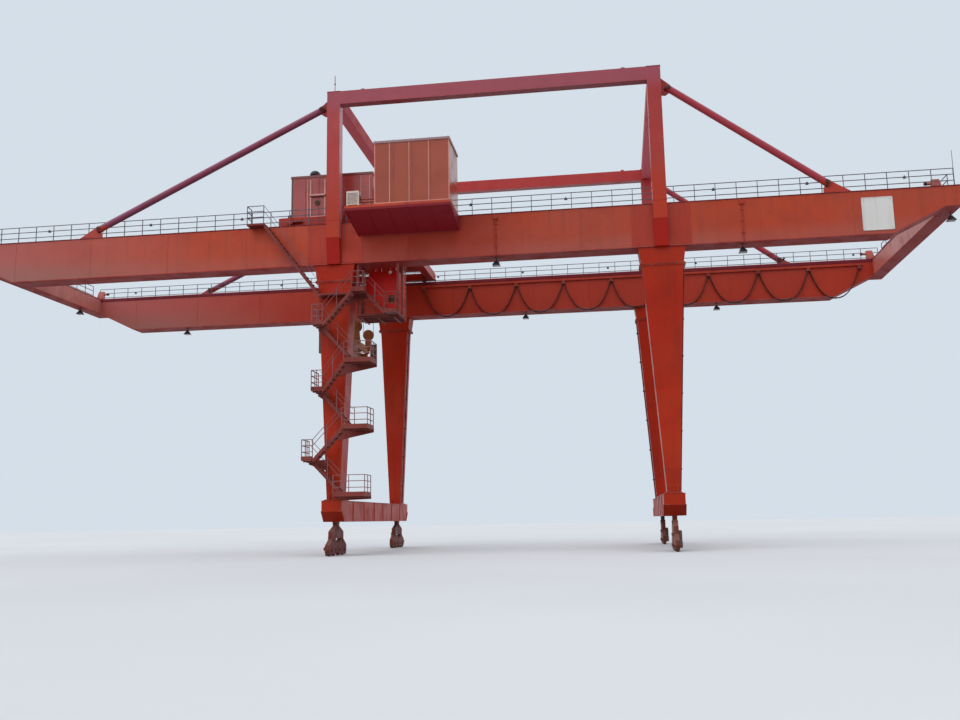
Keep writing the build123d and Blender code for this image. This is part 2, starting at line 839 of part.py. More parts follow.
# Spreader frame: two long beams, end beams at the container's ends, and twistlocks.
half_length = spreader_length / 2
half_width = spreader_width / 2
beam_end = half_length - end_beam_length
with BuildPart() as spreader:
    for sign in (-1, 1):
        x = hoist_x + sign * side_beam_offset
        block(x - side_beam_width / 2, x + side_beam_width / 2, -beam_end, beam_end,
              spreader_top - side_beam_width - 70, spreader_top)
        block(hoist_x - half_width, hoist_x + half_width, sign * half_length, sign * beam_end,
              spreader_bottom, spreader_bottom + end_beam_depth)
        y = sign * sheave_offset_y
        block(hoist_x - head_frame_half, hoist_x + head_frame_half, y - head_cross_width / 2,
              y + head_cross_width / 2, spreader_top - side_beam_width, spreader_top)
    twistlock_places = [
        (hoist_x + x_sign * (half_width - casting_inset_x), y_sign * (half_length - casting_inset_y))
        for x_sign in (-1, 1)
        for y_sign in (-1, 1)
    ]
    with BuildSketch(Plane((0, 0, spreader_bottom - twistlock_length))):
        with Locations(*twistlock_places):
            Circle(twistlock_radius)
    extrude(amount=twistlock_length)
save(spreader, "spreader_frame")

# Corner guide flippers in their raised place, standing against the ends of the spreader.
flipper_root = spreader_bottom + end_beam_depth
with BuildPart() as flippers:
    for sign in ends.values():
        for y_sign in sides.values():
            face = y_sign * half_length
            outer = face + y_sign * flipper_thickness
            outline = [
                (face, flipper_root),
                (face, spreader_bottom - flipper_drop),
                (outer, spreader_bottom - flipper_drop),
                (outer, flipper_top),
                (face + y_sign * flipper_thickness / 3, flipper_top),
            ]
            edge = hoist_x + sign * (half_width - flipper_inset)
            plate_yz(outline, edge - sign * flipper_width, edge)
save(flippers, "spreader_flippers")

# Festoon: carriers on a track and the hanging loops between them.
festoon_y = inner_web_y - festoon_gap
track_level = girder_top - festoon_top_drop
with BuildPart() as festoon:
    track_right = festoon_left + festoon_pitch * (festoon_count - 1) + carrier_width
    block(festoon_left - carrier_width, track_right, festoon_y - 20, inner_web_y, track_level, track_level + 60)
    for n in range(festoon_count):
        x = festoon_left + n * festoon_pitch
        block(x - carrier_width / 2, x + carrier_width / 2, festoon_y - 30, festoon_y + 30,
              track_level - 110, track_level)
save(festoon, "festoon_track")
loop_steps = 10
with BuildPart() as loops:
    for n in range(festoon_count - 1):
        start = festoon_left + n * festoon_pitch + 30
        span = festoon_pitch - 60
        top = track_level - 110
        under = []
        over = []
        for k in range(loop_steps + 1):
            t = k / loop_steps
            dip = 4 * t * (1 - t)
            under.append((start - festoon_cable / 2 + (span + festoon_cable) * t,
                          top - (festoon_sag + festoon_cable) * dip))
            over.append((start + festoon_cable / 2 + (span - festoon_cable) * t, top - festoon_sag * dip))
        plate_xz(under + over[::-1], festoon_y - festoon_cable / 2, festoon_y + festoon_cable / 2)
save(loops, "festoon_cables")

# Floodlights on short stems.
lamp_places = [
    (20, -girder_y, girder_bottom),
    (7300, -girder_y, girder_bottom),
    (150, girder_y, girder_bottom),
    (7300, girder_y, girder_bottom),
    (-13550, girder_y, girder_bottom),
    (left_end + tip_length / 2, 2530, tip_bottom),
    (right_end - 90, -3600, tip_bottom),
]
with BuildPart() as lamps:
    for x, y, level in lamp_places:
        with BuildSketch(Plane((x, y, level - lamp_stem))):
            Rectangle(30, 30)
        extrude(amount=lamp_stem)
        with BuildSketch(Plane((x, y, level - lamp_stem - lamp_height))):
            Rectangle(lamp_width, lamp_width)
        extrude(amount=lamp_height, taper=30)
save(lamps, "floodlights")
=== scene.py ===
from math import cos, pi, radians, sin
import bmesh
import bpy
from mathutils import Matrix, Vector


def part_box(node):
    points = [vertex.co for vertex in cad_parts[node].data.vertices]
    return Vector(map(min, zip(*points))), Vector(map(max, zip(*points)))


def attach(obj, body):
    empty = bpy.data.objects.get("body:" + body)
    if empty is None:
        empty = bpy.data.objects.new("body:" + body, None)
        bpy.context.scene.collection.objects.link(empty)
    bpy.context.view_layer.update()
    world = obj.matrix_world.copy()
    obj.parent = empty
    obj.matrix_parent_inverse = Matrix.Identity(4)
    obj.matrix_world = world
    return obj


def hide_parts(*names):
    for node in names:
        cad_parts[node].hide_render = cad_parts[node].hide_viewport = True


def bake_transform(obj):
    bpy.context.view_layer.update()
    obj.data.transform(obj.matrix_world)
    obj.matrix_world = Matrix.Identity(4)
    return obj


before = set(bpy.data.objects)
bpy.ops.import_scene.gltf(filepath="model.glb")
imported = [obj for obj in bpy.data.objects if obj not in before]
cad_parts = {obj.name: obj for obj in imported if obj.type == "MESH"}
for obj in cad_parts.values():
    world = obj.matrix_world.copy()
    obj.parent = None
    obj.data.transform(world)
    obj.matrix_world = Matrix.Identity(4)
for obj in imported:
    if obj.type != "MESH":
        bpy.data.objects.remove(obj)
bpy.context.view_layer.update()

# Camera: held at eye height in front of the crane, near its right leg, and looking up at the portal.
# Its place, turn and lens were fitted to the crane's straight edges.
scene = bpy.context.scene
scene.view_settings.view_transform = "Standard"
camera_place = Vector((3.437, -32.32, 0.935))
camera_yaw = radians(7.99)
camera_pitch = radians(9.43)
camera_roll = radians(-1.04)
forward = Vector((-sin(camera_yaw) * cos(camera_pitch), cos(camera_yaw) * cos(camera_pitch),
                  sin(camera_pitch)))
level = Vector((cos(camera_yaw), sin(camera_yaw), 0))
upright = level.cross(forward)
right = cos(camera_roll) * level + sin(camera_roll) * upright
up = cos(camera_roll) * upright - sin(camera_roll) * level
lens = bpy.data.cameras.new("fitted_camera")
lens.lens = 36.33
lens.sensor_width = 36
lens.clip_end = 600
camera = bpy.data.objects.new("fitted_camera", lens)
camera.matrix_world = Matrix.Translation(camera_place) @ Matrix((right, up, -forward)).transposed().to_4x4()
scene.collection.objects.link(camera)
scene.camera = camera


# Box girders: two welded steel boxes 1.3 m deep with haunched tips, spray painted orange red and
# bleached towards pink at the left tip. Rain runs down the webs, rust starts at welds and edges.
def shade(red, green, blue):
    """A paint colour given as it looks on a screen, for the shader."""
    return (*[(part / 255) ** 2.2 for part in (red, green, blue)], 1)


def fill(node, sockets):
    """Links each named socket of a node, or sets its value."""
    for name, value in sockets.items():
        if isinstance(value, bpy.types.NodeSocket):
            node.id_data.links.new(value, node.inputs[name])
        else:
            node.inputs[name].default_value = value


def add_node(tree, kind, sockets=None, **settings):
    """Adds a shader node, sets it up, and links or fills its sockets."""
    made = tree.nodes.new("ShaderNode" + kind)
    for name, value in settings.items():
        setattr(made, name, value)
    fill(made, sockets or {})
    return made


def mixed(tree, share, under, over):
    """One colour laid over another, by a share from 0 to 1."""
    return add_node(tree, "Mix", {0: share, 6: under, 7: over}, data_type="RGBA").outputs[2]


def ramp(tree, value, low, high, top=1.0):
    """Turns the stretch from low to high of a value into 0 to top."""
    sockets = {"Value": value, "From Min": low, "From Max": high, "To Max": top}
    return add_node(tree, "MapRange", sockets).outputs["Result"]


def worked(tree, operation, *values):
    """The outcome of a sum on one or two values."""
    return add_node(tree, "Math", dict(enumerate(values)), operation=operation).outputs[0]


def product(tree, first, second):
    """Two values multiplied."""
    return worked(tree, "MULTIPLY", first, second)


def noise(tree, scale, detail, stretch=(1, 1, 1)):
    """Cloudy noise on the object's own coordinates, drawn out by a scale along each axis."""
    place = add_node(tree, "TexCoord").outputs["Object"]
    place = add_node(tree, "Mapping", {"Vector": place, "Scale": stretch}).outputs["Vector"]
    return add_node(tree, "TexNoise", {"Vector": place, "Scale": scale, "Detail": detail}).outputs["Fac"]


def coordinate(tree, axis):
    """The height or length of a point on the object, in metres."""
    place = add_node(tree, "TexCoord").outputs["Object"]
    return add_node(tree, "SeparateXYZ", {"Vector": place}).outputs[axis]


def facing(tree, axis):
    """How squarely the surface faces along an axis, from -1 to 1."""
    normal = add_node(tree, "NewGeometry").outputs["Normal"]
    return add_node(tree, "SeparateXYZ", {"Vector": normal}).outputs[axis]


def bumped(tree, height, strength, distance):
    """The normal of a surface raised by a height."""
    sockets = {"Height": height, "Strength": strength, "Distance": distance}
    return add_node(tree, "Bump", sockets).outputs["Normal"]


def new_finish(name):
    """A new material with its node tree and its shader."""
    material = bpy.data.materials.new(name)
    material.use_nodes = True
    return material, material.node_tree, material.node_tree.nodes["Principled BSDF"]


def start_group(name, inputs, outputs):
    """A node group with its named sockets, and the nodes that hold them."""
    group = bpy.data.node_groups.new(name, "ShaderNodeTree")
    for label, kind, value in inputs:
        socket = group.interface.new_socket(name=label, in_out="INPUT", socket_type="NodeSocket" + kind)
        socket.default_value = value
    for label, kind in outputs:
        group.interface.new_socket(name=label, in_out="OUTPUT", socket_type="NodeSocket" + kind)
    return group, group.nodes.new("NodeGroupInput").outputs, group.nodes.new("NodeGroupOutput").inputs


weathered, given, result = start_group(
    "weathered_paint",
    [("Paint", "Color", shade(160, 70, 50)), ("Bleached", "Color", shade(170, 95, 85)),
     ("Grime and Shade", "Color", shade(90, 50, 45)), ("Streaks", "Float", 0.4), ("Rust", "Float", 0.3),
     ("Wear", "Float", 0.5), ("Gloss", "Float", 0.35), ("Plate", "Vector", (2.6, 60, 60))],
    [("Color", "Color"), ("Roughness", "Float"), ("Height", "Float")])
upward = facing(weathered, "Z")
normal = add_node(weathered, "NewGeometry").outputs["Normal"]
rounded = add_node(weathered, "Bevel", {"Radius": 0.018}, samples=3).outputs["Normal"]
flatness = add_node(weathered, "VectorMath", {0: rounded, 1: normal},
                    operation="DOT_PRODUCT").outputs["Value"]
edge = product(weathered, ramp(weathered, flatness, 0.97, 0.80),
               ramp(weathered, noise(weathered, 3.1, 5), 0.42, 0.66))
bleach = ramp(weathered, noise(weathered, 0.34, 4, (1, 1, 1.6)), 0.40, 0.66)
runs = ramp(weathered, noise(weathered, 1.0, 5, (5.5, 5.5, 0.32)), 0.50, 0.72)
blotch = ramp(weathered, noise(weathered, 1.7, 6), 0.46, 0.70)
flakes = ramp(weathered, noise(weathered, 7.5, 8), 0.63, 0.70)
place = add_node(weathered, "TexCoord").outputs["Object"]
cell = add_node(weathered, "VectorMath", {0: place, 1: given["Plate"]}, operation="SNAP").outputs["Vector"]
tone = add_node(weathered, "TexWhiteNoise", {"Vector": cell}, noise_dimensions="3D").outputs["Value"]
tone = add_node(weathered, "MapRange", {"Value": tone, "To Min": 0.90, "To Max": 1.08}).outputs["Result"]
colour = mixed(weathered, product(weathered, bleach, 0.75), given["Paint"], given["Bleached"])
colour = add_node(weathered, "HueSaturation", {"Color": colour, "Value": tone}).outputs["Color"]
colour = mixed(weathered, product(weathered, runs, given["Streaks"]), colour, given["Grime and Shade"])
colour = mixed(weathered, product(weathered, blotch, 0.22), colour, given["Grime and Shade"])
# Faces that look down take the grime colour as well: painted shade on the undersides.
colour = mixed(weathered, ramp(weathered, upward, -0.2, -0.9, 0.45), colour, given["Grime and Shade"])
colour = mixed(weathered, ramp(weathered, upward, 0.5, 1.0, 0.35), colour, shade(150, 128, 118))
rust = product(weathered, flakes, given["Rust"])
colour = mixed(weathered, rust, colour, shade(92, 52, 34))
worn = product(weathered, edge, given["Wear"])
colour = mixed(weathered, worn, colour, shade(186, 128, 112))
weathered.links.new(colour, result["Color"])
rough = worked(weathered, "ADD", given["Gloss"], product(weathered, blotch, 0.18))
rough = worked(weathered, "ADD", rough, product(weathered, rust, 0.4))
weathered.links.new(rough, result["Roughness"])
peel = product(weathered, noise(weathered, 38, 3), 0.25)
weathered.links.new(worked(weathered, "SUBTRACT", peel, rust), result["Height"])


# The third colour is both the grime of streaks and blotches and the painted shade on faces that look down.
def painted(name, paint, bleached, grime_and_shade, streaks=0.4, rust=0.3, wear=0.5, gloss=0.35,
            plate=(2.6, 60, 60), bands=None, shine=0.3):
    """A weathered paint finish of three colours. The bands list further colours and where they lie."""
    material, tree, shader = new_finish(name)
    look = add_node(tree, "Group", node_tree=weathered)
    fill(look, {"Paint": shade(*paint), "Bleached": shade(*bleached), "Grime and Shade": shade(*grime_and_shade),
                "Streaks": streaks, "Rust": rust, "Wear": wear, "Gloss": gloss, "Plate": plate})
    colour = look.outputs["Color"]
    for mask, tint in bands(tree) if bands else ():
        colour = mixed(tree, mask, colour, shade(*tint))
    fill(shader, {"Base Color": colour, "Roughness": look.outputs["Roughness"], "Specular IOR Level": shine,
                  "Normal": bumped(tree, look.outputs["Height"], 0.35, 0.004)})
    return material


def paint_nodes(material, *names):
    """Gives CAD nodes their finish."""
    for name in names:
        for held in bpy.data.objects[name].material_slots:
            held.material = material


def add_block(bm, low, high, ease=0.004):
    """A plate or bar between two opposite corners, its edges eased."""
    size = [abs(b - a) for a, b in zip(low, high)]
    middle = [(a + b) / 2 for a, b in zip(low, high)]
    made = bmesh.ops.create_cube(bm, size=1,
                                 matrix=Matrix.Translation(middle) @ Matrix.Diagonal((*size, 1)))
    rims = list({rim for corner in made["verts"] for rim in corner.link_edges})
    bmesh.ops.bevel(bm, geom=rims, offset=min(ease, 0.3 * min(size)), segments=1, profile=0.5,
                    affect="EDGES", material=-1)


def add_round(bm, start, end, radius, far_radius=None, sides=16):
    """A round bar, boss or cone between two points. Six sides make a nut."""
    start, end = Vector(start), Vector(end)
    axis = end - start
    turn = Matrix.Translation((start + end) / 2) @ axis.to_track_quat("Z", "Y").to_matrix().to_4x4()
    far_radius = radius if far_radius is None else far_radius
    bmesh.ops.create_cone(bm, cap_ends=True, segments=sides, radius1=radius, radius2=far_radius,
                          depth=axis.length, matrix=turn)


def add_slab(bm, outline, push):
    """A flat plate with the given outline, as thick as the push is long."""
    face = bm.faces.new([bm.verts.new(corner) for corner in outline])
    made = bmesh.ops.extrude_face_region(bm, geom=[face])["geom"]
    bmesh.ops.translate(bm, vec=push, verts=[part for part in made if isinstance(part, bmesh.types.BMVert)])


def add_bolts(bm, places, out, radius):
    """Hexagon bolt heads on washers, standing out along a direction."""
    out = Vector(out)
    for place in places:
        place = Vector(place)
        add_round(bm, place, place + 0.25 * radius * out, 1.5 * radius, sides=10)
        add_round(bm, place + 0.25 * radius * out, place + 1.1 * radius * out, radius, 0.85 * radius,
                  sides=6)


def finish_piece(name, bm, material, body="crane", smooth=False):
    """Turns finished mesh work into a piece, which rides on a body if one is named."""
    bmesh.ops.recalc_face_normals(bm, faces=bm.faces)
    mesh = bpy.data.meshes.new(name)
    bm.to_mesh(mesh)
    bm.free()
    mesh.materials.append(material)
    if smooth:
        mesh.shade_smooth()
        mesh.set_sharp_from_angle(angle=radians(40))
    piece = bpy.data.objects.new(name, mesh)
    scene.collection.objects.link(piece)
    if body:
        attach(piece, body)
    return piece


def girder_bands(tree):
    """Deeper red far girder, pink bleaching to the left, paler low down, painted shade and shadow on the
    near web.
    """
    along, across, height = [coordinate(tree, axis) for axis in "XYZ"]
    washed = product(tree, ramp(tree, height, 9.6, 8.8), ramp(tree, along, -9, -15, 0.5))
    pale = product(tree, ramp(tree, height, 9.3, 8.9, 0.3), ramp(tree, across, -3, -4))
    # Painted shade: a deeper red on the near web below the house and trolley, between the left leg and the
    # middle.
    deep = product(tree, ramp(tree, along, -5.6, -4.6), ramp(tree, along, 1.0, -0.6, 0.55))
    deep = product(tree, deep, ramp(tree, across, -4.30, -4.345))
    # Painted shadow: dark purple on the near web just below the house platform.
    house_shadow = product(tree, ramp(tree, along, -4.4, -4.2), ramp(tree, along, -0.9, -1.15))
    house_shadow = product(tree, house_shadow, ramp(tree, across, -4.30, -4.345, 0.8))
    house_shadow = product(tree, house_shadow, ramp(tree, height, 9.52, 9.78))
    return [(ramp(tree, across, 1, 3, 0.6), (164, 40, 24)),
            (ramp(tree, along, -9, -17, 0.74), (172, 100, 98)), (washed, (128, 108, 96)),
            (pale, (158, 100, 94)), (deep, (154, 46, 28)), (house_shadow, (92, 26, 40))]


girder_paint = painted("girder_paint", (182, 64, 34), (174, 74, 54), (122, 56, 46), streaks=0.3, rust=0.2,
                       gloss=0.38, bands=girder_bands, shine=0.25)
edge_paint = painted("edge_paint", (112, 34, 48), (122, 42, 56), (78, 28, 40), gloss=0.5, shine=0.15)
soffit_paint = painted("soffit_paint", (178, 62, 56), (168, 74, 70), (124, 48, 50), gloss=0.55, shine=0.1)
doubler_paint = painted("doubler_paint", (172, 48, 24), (170, 58, 38), (116, 42, 34), gloss=0.38)
paint_nodes(girder_paint, "near_girder", "far_girder")
girder_low, girder_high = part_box("far_girder")
left_tip, right_tip = girder_low.x, girder_high.x
girder_bottom, girder_top, rail_height = girder_low.z, 10.10, 0.06
tip_bottom = girder_top - 0.59
web, inner_web = girder_high.y, girder_low.y
rail_y = web - 0.525
tip_length, haunch = 0.46, 1.45
leg_x = 4.95
underline = [
    (left_tip + 0.003, tip_bottom), (left_tip + tip_length, tip_bottom),
    (left_tip + tip_length + haunch, girder_bottom), (right_tip - tip_length - haunch, girder_bottom),
    (right_tip - tip_length, tip_bottom), (right_tip - 0.003, tip_bottom)]
flange, flange_thickness = 0.022, 0.018
upper = bmesh.new()
lower = bmesh.new()
for side in (-1, 1):
    inside, outside = side * (inner_web - flange), side * (web + flange)
    add_block(upper, (left_tip + 0.003, inside, girder_top - flange_thickness),
              (right_tip - 0.003, outside, girder_top + 0.004))
    add_block(upper, (left_tip + 0.003, side * (inner_web - 0.024), girder_top - 0.10),
              (right_tip - 0.003, side * (inner_web + 0.002), girder_top + 0.002))
    back = [(x, inside, z - flange_thickness) for x, z in reversed(underline)]
    add_slab(lower, [(x, inside, z) for x, z in underline] + back, (0, outside - inside, 0))
finish_piece("girder_flanges", upper, edge_paint)
finish_piece("girder_soffits", lower, soffit_paint)

plate_length = 2.6
bm = bmesh.new()
for side in (-1, 1):
    for face in (inner_web, web):
        for step in range(-6, 5):
            x = step * plate_length
            add_round(bm, (x, side * face, girder_bottom), (x, side * face, girder_top - 0.03), 0.009,
                      sides=8)
finish_piece("girder_welds", bm, girder_paint)

corners = [(-1, -1), (-1, 1), (1, -1), (1, 1)]
doubler_reach, doubler_margin = (0.86, 0.88), 0.03
bm = bmesh.new()
for side, end in corners:
    middle = end * leg_x
    add_block(bm, (middle - doubler_reach[0], side * (web - 0.01), girder_bottom + doubler_margin),
              (middle + doubler_reach[1], side * (web + 0.008), girder_top - doubler_margin))
finish_piece("web_doublers", bm, doubler_paint)

# Trolley rails: flat rail bars clamped to the girder tops by pairs of sloped clips. The wheels keep
# the rail head bright and the clips stay rusty.
clip_pitch, clip_width, clip_start = 0.72, 0.06, 0.4
bm = bmesh.new()
for side in (-1, 1):
    for hand in (-1, 1):
        for step in range(round((right_tip - left_tip) / clip_pitch) - 1):
            x = left_tip + clip_start + step * clip_pitch
            foot = side * rail_y + hand * 0.028
            toe = foot + hand * 0.06
            outline = [(x, foot, girder_top), (x, foot, girder_top + 0.035), (x, toe, girder_top + 0.016),
                       (x, toe, girder_top)]
            add_slab(bm, outline, (clip_width, 0, 0))
rusty_paint = painted("rusty_paint", (104, 66, 48), (122, 84, 62), (62, 44, 36), rust=0.9, gloss=0.62)
finish_piece("rail_clips", bm, rusty_paint)

# Bare white plate: an enamelled steel sheet with a folded rim, screwed to the near web at its right
# end. Rain leaves grey runs on it.
enamel = painted("white_enamel", (230, 230, 226), (220, 220, 216), (164, 156, 148), streaks=0.28, rust=0.06,
                 wear=0.0, gloss=0.25, plate=(60, 60, 60))
plate_left, plate_right, plate_low, plate_high = 10.625, 11.485, 8.90, 9.88
bm = bmesh.new()
add_block(bm, (plate_left, -web - 0.014, plate_low), (plate_right, -web, plate_high), 0.006)
rim, screw_inset = 0.022, 0.06
for low, high in (((plate_left, plate_low), (plate_right, plate_low + rim)),
                  ((plate_left, plate_high - rim), (plate_right, plate_high)),
                  ((plate_left, plate_low), (plate_left + rim, plate_high)),
                  ((plate_right - rim, plate_low), (plate_right, plate_high))):
    add_block(bm, (low[0], -web - 0.022, low[1]), (high[0], -web - 0.01, high[1]))
screws = [(x, -web - 0.02, z) for x in (plate_left + screw_inset, plate_right - screw_inset)
          for z in (plate_low + screw_inset, plate_high - screw_inset)]
add_bolts(bm, screws, (0, -1, 0), 0.012)
finish_piece("web_plate", bm, enamel)

# Lamp conduits: thin steel pipes down the outer webs, from a junction box to each floodlight. Saddle
# clips hold them, and the girder's paint covers all of it.
conduit_places = [(-1, 0.06), (-1, 7.3), (1, 0.15), (1, 7.3), (1, -13.55)]
conduit_radius, clip_levels = 0.015, (9.05, 9.4, 9.75)
bm = bmesh.new()
for side, x in conduit_places:
    face = side * web
    axis = side * (web + 0.022)
    add_round(bm, (x, axis, girder_bottom + 0.01), (x, axis, girder_top - 0.12), conduit_radius, sides=8)
    add_block(bm, (x - 0.07, face, girder_top - 0.19), (x + 0.07, side * (web + 0.06), girder_top - 0.06))
    for z in clip_levels:
        add_block(bm, (x - 0.04, face, z), (x + 0.04, side * (web + 0.042), z + 0.02))
finish_piece("lamp_conduits", bm, doubler_paint)

# End beams: boxes between the girder tips. Each trolley rail ends at a welded stop with two ribs and
# a buffer that carries a black rubber sleeve.
end_paint = painted("end_paint", (192, 104, 92), (188, 118, 110), (128, 70, 68), streaks=0.3, gloss=0.3)
paint_nodes(end_paint, "left_end_beam", "right_end_beam")
rubber, tree, shader = new_finish("black_rubber")
dust = ramp(tree, noise(tree, 6, 5), 0.45, 0.75)
fill(shader, {"Base Color": mixed(tree, dust, shade(34, 24, 26), shade(70, 48, 46)),
              "Roughness": ramp(tree, dust, 0, 1, 0.9), "Specular IOR Level": 0.3,
              "Normal": bumped(tree, noise(tree, 60, 2), 0.3, 0.002)})
bm = bmesh.new()
for tip, sign in ((left_tip, 1), (right_tip, -1)):
    for z0, z1 in ((girder_top - flange_thickness, girder_top + 0.004),
                   (tip_bottom - flange_thickness, tip_bottom)):
        add_block(bm, (tip + sign * 0.003, -inner_web, z0),
                  (tip + sign * (tip_length + flange), inner_web, z1))
finish_piece("end_beam_flanges", bm, soffit_paint)
sleeves = bmesh.new()
ribs = bmesh.new()
stop_length, buffer_length, buffer_level = 0.30, 0.20, girder_top + rail_height + 0.19
left_stop_gap, right_stop_gap = 0.184, 0.32
for tip, sign, gap in ((left_tip, 1, left_stop_gap), (right_tip, -1, right_stop_gap)):
    back = tip + sign * gap
    nose = back + sign * (stop_length + buffer_length)
    for side in (-1, 1):
        y = side * rail_y
        add_round(sleeves, (nose + sign * 0.001, y, buffer_level), (nose - sign * 0.07, y, buffer_level),
                  0.046, 0.054)
        for hand in (-1, 1):
            foot = y + hand * 0.06
            for x in (back + sign * 0.08, back + sign * 0.22):
                outline = [(x, foot, girder_top + 0.06), (x, foot, girder_top + 0.28),
                           (x, foot + hand * 0.07, girder_top + 0.004)]
                add_slab(ribs, outline, (0.016, 0, 0))
finish_piece("stop_sleeves", sleeves, rubber, smooth=True)
finish_piece("stop_ribs", ribs, end_paint)

# Legs: tapered boxes, deep red, each bolted to its head through a thick seam below the girder and
# welded to a ribbed foot plate on the sill beam.
leg_paint = painted("leg_paint", (172, 40, 12), (170, 54, 28), (110, 36, 28), streaks=0.35, rust=0.25,
                    gloss=0.35, plate=(60, 60, 2.3), shine=0.15)


def corner_nodes(part):
    """The names of the four nodes of a part that each corner of the crane has."""
    return [f"{side}_{end}_{part}" for side in ("near", "far") for end in ("left", "right")]


paint_nodes(leg_paint, *corner_nodes("leg"))
seam_level = girder_bottom - 0.54
seam_halves = {-1: 0.60, 1: 0.658}
seam_depth, foot_level, foot_halves = 0.345, 1.60, {-1: 0.195, 1: 0.18}
girder_y = 4.0
bolts = bmesh.new()
feet = bmesh.new()
for end, side in corners:
    x, y = end * leg_x, side * girder_y
    half = seam_halves[end]
    wide = [x - half + 0.06 + step * (2 * half - 0.12) / 12 for step in range(13)]
    deep = [y - seam_depth + 0.06 + step * (2 * seam_depth - 0.12) / 6 for step in range(7)]
    for hand in (-1, 1):
        add_bolts(bolts, [(place, y + hand * seam_depth, seam_level) for place in wide], (0, hand, 0), 0.018)
        add_bolts(bolts, [(x + hand * half, place, seam_level) for place in deep], (hand, 0, 0), 0.018)
    foot = foot_halves[end] + 0.075
    add_block(feet, (x - foot, y - 0.41, foot_level), (x + foot, y + 0.41, foot_level + 0.03))
    for hand in (-1, 1):
        spots = [(x + step * 0.085, y + hand * 0.375, foot_level + 0.03) for step in (-2.4, -0.8, 0.8, 2.4)]
        add_bolts(bolts, spots, (0, 0, 1), 0.016)
        for step in (-0.11, 0.11):
            face = y + hand * 0.325
            outline = [(x + step, face, foot_level + 0.02), (x + step, face, foot_level + 0.25),
                       (x + step, face + hand * 0.075, foot_level + 0.03)]
            add_slab(feet, outline, (0.014, 0, 0))
bolt_steel = painted("bolt_steel", (88, 44, 40), (102, 56, 48), (50, 30, 28), rust=0.7, gloss=0.55)
finish_piece("leg_bolts", bolts, bolt_steel)
finish_piece("leg_feet", feet, leg_paint)

# Leg conduits: steel cable pipes down one side of the two right legs and of the far left leg, held
# by six clamp blocks each and painted dark.
leg_pipes = [(-1, 1, 1), (1, 1, -1), (1, -1, 1)]
head_halves, pipe_offset, pipe_out, clamps = {-1: 0.515, 1: 0.595}, 0.12, 0.035, 6
bm = bmesh.new()
for end, side, hand in leg_pipes:
    y = side * (girder_y - pipe_offset)
    head = Vector((end * leg_x + hand * (head_halves[end] + pipe_out), y, seam_level - 0.06))
    foot = Vector((end * leg_x + hand * (foot_halves[end] + pipe_out), y, foot_level + 0.05))
    add_round(bm, head, foot, 0.022, sides=10)
    for step in range(clamps):
        spot = head.lerp(foot, (step + 0.4) / clamps)
        add_block(bm, spot - Vector((0.05, 0.05, 0.02)), spot + Vector((0.03, 0.05, 0.02)))
finish_piece("leg_conduits", bm, edge_paint)

# Sill beams: welded boxes with raked ends that tie each pair of legs together above the bogies. Their
# flange plates stand a little proud, and short ribs stiffen the webs.
bogie_paint = painted("bogie_paint", (112, 46, 36), (126, 62, 48), (58, 34, 30), streaks=0.5, rust=0.7,
                      gloss=0.5, plate=(60, 1.2, 60))
paint_nodes(leg_paint, "left_sill_beam", "right_sill_beam")
bm = bmesh.new()
sill_half, sill_bottom, sill_rake, sill_side = 4.5, 1.0, 0.26, 0.32
stiffeners = (-3.2, -1.9, -0.6, 0.6, 1.9, 3.2)
for end in (-1, 1):
    x = end * leg_x
    add_block(bm, (x - sill_side, -sill_half, foot_level - 0.014),
              (x + sill_side, sill_half, foot_level + 0.004))
    path = [(-sill_half, sill_bottom + 0.3), (-sill_half + sill_rake, sill_bottom),
            (sill_half - sill_rake, sill_bottom), (sill_half, sill_bottom + 0.3)]
    underside = [(y, z - 0.016) for y, z in reversed(path)]
    add_slab(bm, [(x - sill_side, y, z) for y, z in path + underside], (2 * sill_side, 0, 0))
    for y in stiffeners:
        for hand in (-1, 1):
            add_block(bm, (x + hand * 0.299, y - 0.008, sill_bottom),
                      (x + hand * 0.315, y + 0.008, foot_level))
finish_piece("sill_flanges", bm, leg_paint)

